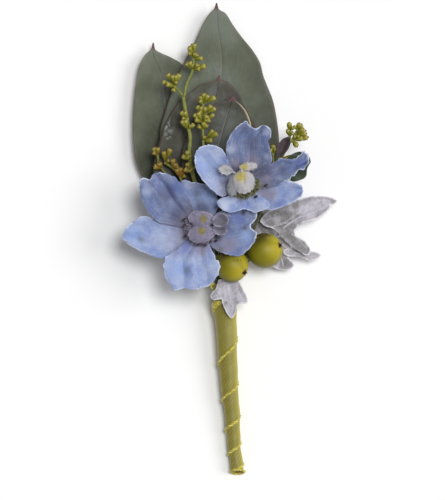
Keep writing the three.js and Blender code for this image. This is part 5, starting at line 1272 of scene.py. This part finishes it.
# A lobe: its outline in plan, its height, its ribs, the hollow parts with painted shade, where it
# has no white rim, and where painted light makes it brightest. The last three are rows of x, y and
# radius.
SILVER_RIGHT = [
    # the blade with its shoulder and its lower lobe
    {"outline": [9.5, 5.4, 9.8, 6.5, 10.7, 7.6, 12.1, 8.7, 14.4, 9.8, 17.6, 11.4, 20.4, 12.4, 22.7,
     12.7, 24.8, 13.2, 27.5, 13.5, 30.7, 13.2, 32.8, 12.5, 33.4, 11.9, 32.5, 10.9, 31.5, 10.7, 31.3,
     9.7, 30.1, 8.4, 28.5, 7.3, 26.9, 6.3, 24.8, 5.6, 22.7, 5, 21.1, 3.9, 20.3, 2.6, 20.8, 1, 22.5,
     0.1, 23.8, -1, 24.7, -2.5, 25.1, -3.9, 24.6, -4.9, 23.6, -5.1, 21.6, -3.9, 19.8, -2.8, 18.4,
     -1.7, 17.1, -0.4, 16.2, 0.6, 15.4, 1.5, 14.5, 2.5, 13.4, 3.2, 12, 3.7, 10.5, 4.3], "height":
     lambda x, y: 6 - 0.06 * abs(x - 14), "ribs": [[12.9, 3.8, 16.6, 4.9, 19.5, 6.8, 22.7, 9.4,
     26.4, 11.4, 30.7, 12.3], [16.6, 4.8, 19.5, 5.6, 23.8, 8.2, 27.5, 9.8, 31.2, 10.9], [10.2, 5.2,
     12.8, 6.4, 14.4, 8], [20.8, 9, 24.6, 11.2, 29.4, 12.6], [21.6, 6.6, 25.4, 8.4, 29.6, 9.6],
     [19.4, 1.6, 21.4, 0, 24, -2.8]], "shaded_hollows": [17.4, 6.8, 2.4, 18.4, 4, 2.4, 18.2, 1.4, 2.4, 20,
     -0.2, 2.2, 21.9, -1.9, 2.2, 23.8, -3.6, 1.8, 12.9, 4.6, 1.4, 14.2, 8, 1.7, 20.6, 10.6, 1.4, 21,
     7, 1.2, 16.6, 4.4, 1.8], "plain": [21.6, -3.8, 1.4, 19.8, -2.8, 1.4, 18, -1.4, 1.4, 16.6, 0,
     1.2, 25, -3, 1.4], "glow": [24, 9, 2.6, 27, 10.6, 2.4, 30, 11.4, 1.6, 25, 7.4, 1.6]},
    # the shaded half that is folded under, between the berry and the flowers
    {"outline": [7.6, 10.4, 9.6, 9.4, 10.8, 7.4, 10.8, 5.4, 12.4, 3.8, 14, 2.4, 13.6, 0.4, 11, -0.4,
     8.4, 1, 7.2, 4, 7, 7.6], "height": lambda x, y: 3.2 + 0.1 * (x - 7), "ribs": [[8, 9.4, 9.2,
     5.6, 12.6, 1.2], [8.2, 7, 8.6, 4, 10.6, 0.8]], "shaded_hollows": [9, 7, 2.2, 10, 3.6, 2.4, 12, 1.4,
     1.8, 8.6, 9, 1.4], "plain": [9, 5, 7]},
    # the small lobe at the right
    {"outline": [16.8, -3.4, 18.4, -2.9, 20.6, -3.1, 22.2, -3.8, 23.8, -4.3, 25.1, -3.9, 26.4, -3.9,
     28, -4.5, 28.6, -5.1, 27.5, -6.1, 26.2, -6.6, 24.8, -6.8, 23.8, -6.3, 22.2, -5.8, 20.3, -5.5,
     18.4, -5.4, 16.8, -4.6], "height": lambda x, y: 4.6 - 0.04 * (x - 16), "ribs": [[16.6, -4,
     20.4, -4.6, 24.6, -5.6, 28, -5.2]], "shaded_hollows": [21.4, -4, 1, 23.6, -5, 0.7]},
    # the lowest lobe, half under the berry
    {"outline": [15.8, 0.8, 17.4, -0.6, 19, -2.5, 18.6, -3.8, 18.3, -5.7, 19.6, -7.2, 20, -8.2,
     19.4, -9.1, 18.4, -9.7, 16.6, -9.8, 14.6, -9.3, 13.4, -8.5, 12.7, -7, 12.7, -4.8, 13.6, -2,
     14.6, 0], "height": lambda x, y: 4.2 + 0.08 * y, "ribs": [[15, 0, 15.8, -4.4, 16.8, -8.8]],
     "shaded_hollows": [16.8, -7.4, 1.9, 15, -5.6, 1.4], "plain": [17.4, -0.6, 1.2, 19, -2.5, 1.4, 18.4,
     -4.6, 1.2, 15, 0.4, 1], "glow": [17.6, -3, 1.8, 15.4, -2.4, 1.4]},
]


def dusty_right(material):
    body = Body()
    for i, spec in enumerate(SILVER_RIGHT):
        cutout(body, **spec, seed=30 + i)
    tube(body, [*collar("dusty_right"), [3.6, -9.4, 3.2], [9, -4, 3], [13.6, -0.6, 3.8],
                [16.2, 3, 6], [22, 7, 6], [28, 9.8, 5.4]], lambda t: 0.45 - 0.1 * t, 10, 50, **RIB)
    tube(body, [[14.4, 0.2, 4.4], [17, -2.4, 4.4], [20.4, -4.2, 4.6], [25, -5, 4.4]],
         0.36, 8, 16, **RIB)
    tube(body, [[14, -0.4, 4], [15.6, -4, 3.7], [16.6, -8, 3.8]], 0.34, 8, 12, **RIB)
    body.build("dusty_leaf_right", [material], ["dusty_miller_right"])


def lie(y):
    _, z, r = spine(y)
    return z + r + 1.35


def droop(x, y):
    return lie(y) - 0.05 * np.maximum(0, abs(x - spine(y)[0]) - 2) ** 2


SILVER_LOW = {"outline": [-3.5, -12.6, -4, -14, -4.6, -15.7, -5.7, -16.6, -6.1, -17.6, -5.7, -18.8,
 -4.2, -19, -2.8, -18.8, -2.3, -20.2, -1.6, -22, -0.6, -23.8, 0.5, -24.8, 1.5, -23.6, 2, -22, 2.3,
 -20.7, 3.4, -20, 4.5, -20.2, 5.4, -19.9, 5.5, -18.6, 4.7, -16.6, 3.8, -14.9, 3, -13.3, 2.2, -12.6],
 "height": droop, "width": 0.5, "ribs": [[-0.7, -12.8, -0.1, -17.4, 0.7, -21, 0.5, -24], [-1.6,
 -13.6, -1.6, -19], [2.2, -15.4, 3.5, -18.2], [-2.8, -14, -3.4, -16.6, -4.8, -18]], "shaded_hollows": [1.4,
 -17, 0.7, -1.2, -20, 0.5], "glow": [0, -17.4, 2, -2.6, -16.4, 1.2]}


def dusty_low(material):
    body = Body()
    cutout(body, **SILVER_LOW, seed=60, step=0.3)
    spots = ((-1.2, -14.4, 0.05), (-0.4, -18, 0.1), (0.2, -22, 0.05))
    ridge = [[x, y, lie(y) + up] for x, y, up in spots]
    tube(body, [*collar("dusty_low"), [-1.9, -13.1, 7.8], [-1.5, -13, 9.2], *ridge],
         lambda t: 0.42 - 0.2 * t, 10, 50, **RIB)
    body.build("dusty_leaf_low", [material], ["dusty_miller_low"])


# ---------------------------------------------------------------- everything
band, ribbon_length, ribbon_width = ribbon()
selvage = picot()
stem_bundle()
for which, spec in LEAVES.items():
    eucalyptus_leaf(which, *spec)
seed_green = bud_paint("seeds", (106, 115, 52), (128, 127, 38), (136, 124, 42), (172, 168, 94))
seed_brown = bud_paint("seeds_brown", (102, 98, 36), (126, 114, 32), (128, 102, 32), (168, 152, 84))
spray("spray_main", "seeded_spray_main", MAIN_STEMS, MAIN_UMBELS, seed_green, 1)
spray("spray_low", "seeded_spray_low", LOW_STEMS, LOW_UMBELS, seed_brown, 2)
spray("sprig_right", "seeded_sprig_right", RIGHT_STEMS, RIGHT_UMBELS, seed_green, 3)
small_leaves()
floret_sepals("left", LEFT_HUB, LEFT_SEPALS, (4.6, 5), 100)
floret_sepals("right", RIGHT_HUB, RIGHT_SEPALS, (4, 6), 300)
floret_stalk("left", LEFT_HUB, [[-5.7, -9, 7.4], [-8.8, -1, 11]])
floret_stalk("right", RIGHT_HUB, [[0.4, -9, 4.9], [2.4, -3, 6.2], [3.8, 5, 11], [4.2, 13, 16]])
for side, hub in (("left", LEFT_HUB), ("right", RIGHT_HUB)):
    bee(side, hub)
    stamens(side, hub)
skin = berry_paint()
berry("berry_front_skin", "berry_front", *FRONT,
      [[0.7, 1.7, 0.32], [1.9, 1.7, 0.3], [2.7, 1.6, 0.3]],
      [FRONT[0][0] - 2, FRONT[0][1] + 3.5, FRONT[0][2] + 2, 4.2], skin)
berry("berry_side_skin", "berry_side", *SIDE, [],
      [SIDE[0][0] - 1.6, SIDE[0][1] + 4.4, SIDE[0][2] + 2, 5], skin)
berry_stalk()
felt = felt_paint()
dusty_right(felt)
dusty_low(felt)

# ---------------------------------------------------------------- floor, light and camera
mesh = bpy.data.meshes.new("floor")
HALF_FLOOR = 3
corners = [(x * HALF_FLOOR, y * HALF_FLOOR, 0) for x, y in ((-1, -1), (1, -1), (1, 1), (-1, 1))]
mesh.from_pydata(corners, [], [(0, 1, 2, 3)])
floor = bpy.data.objects.new("floor", mesh)
bpy.context.scene.collection.objects.link(floor)
paper = Paint("floor_white", Roughness=0.9, Specular_IOR_Level=0.1)
paper.shader.inputs["Base Color"].default_value = (0.92, 0.92, 0.92, 1)
mesh.materials.append(paper.material)

world = bpy.data.worlds.new("studio")
world.use_nodes = True
sky = world.node_tree.nodes["Background"].inputs
sky["Color"].default_value = (1, 1, 1, 1)
sky["Strength"].default_value = 0.3
bpy.context.scene.world = world


def sun(name, azimuth, elevation, strength, angle):
    lamp = bpy.data.lights.new(name, "SUN")
    lamp.energy = strength
    lamp.angle = math.radians(angle)
    made = bpy.data.objects.new(name, lamp)
    made.rotation_euler = (math.radians(90 - elevation), 0, math.radians(azimuth + 90))
    bpy.context.scene.collection.objects.link(made)


sun("key", 40, 73, 1.85, 22)
sun("fill", 8, 41, 1.15, 32)

# The camera stands straight above, far enough for a nearly flat view of WIDTH millimetres.
DISTANCE, FOCUS, WIDTH = 1000.0, 8.0, 156.25
lens = bpy.data.cameras.new("camera")
lens.sensor_width = 36
lens.lens = 36 * DISTANCE / WIDTH
camera = bpy.data.objects.new("camera", lens)
camera.location = (-2.34 * MM, -3.44 * MM, (DISTANCE + FOCUS) * MM)
bpy.context.scene.collection.objects.link(camera)
bpy.context.scene.camera = camera
bpy.context.scene.view_settings.view_transform = "Standard"
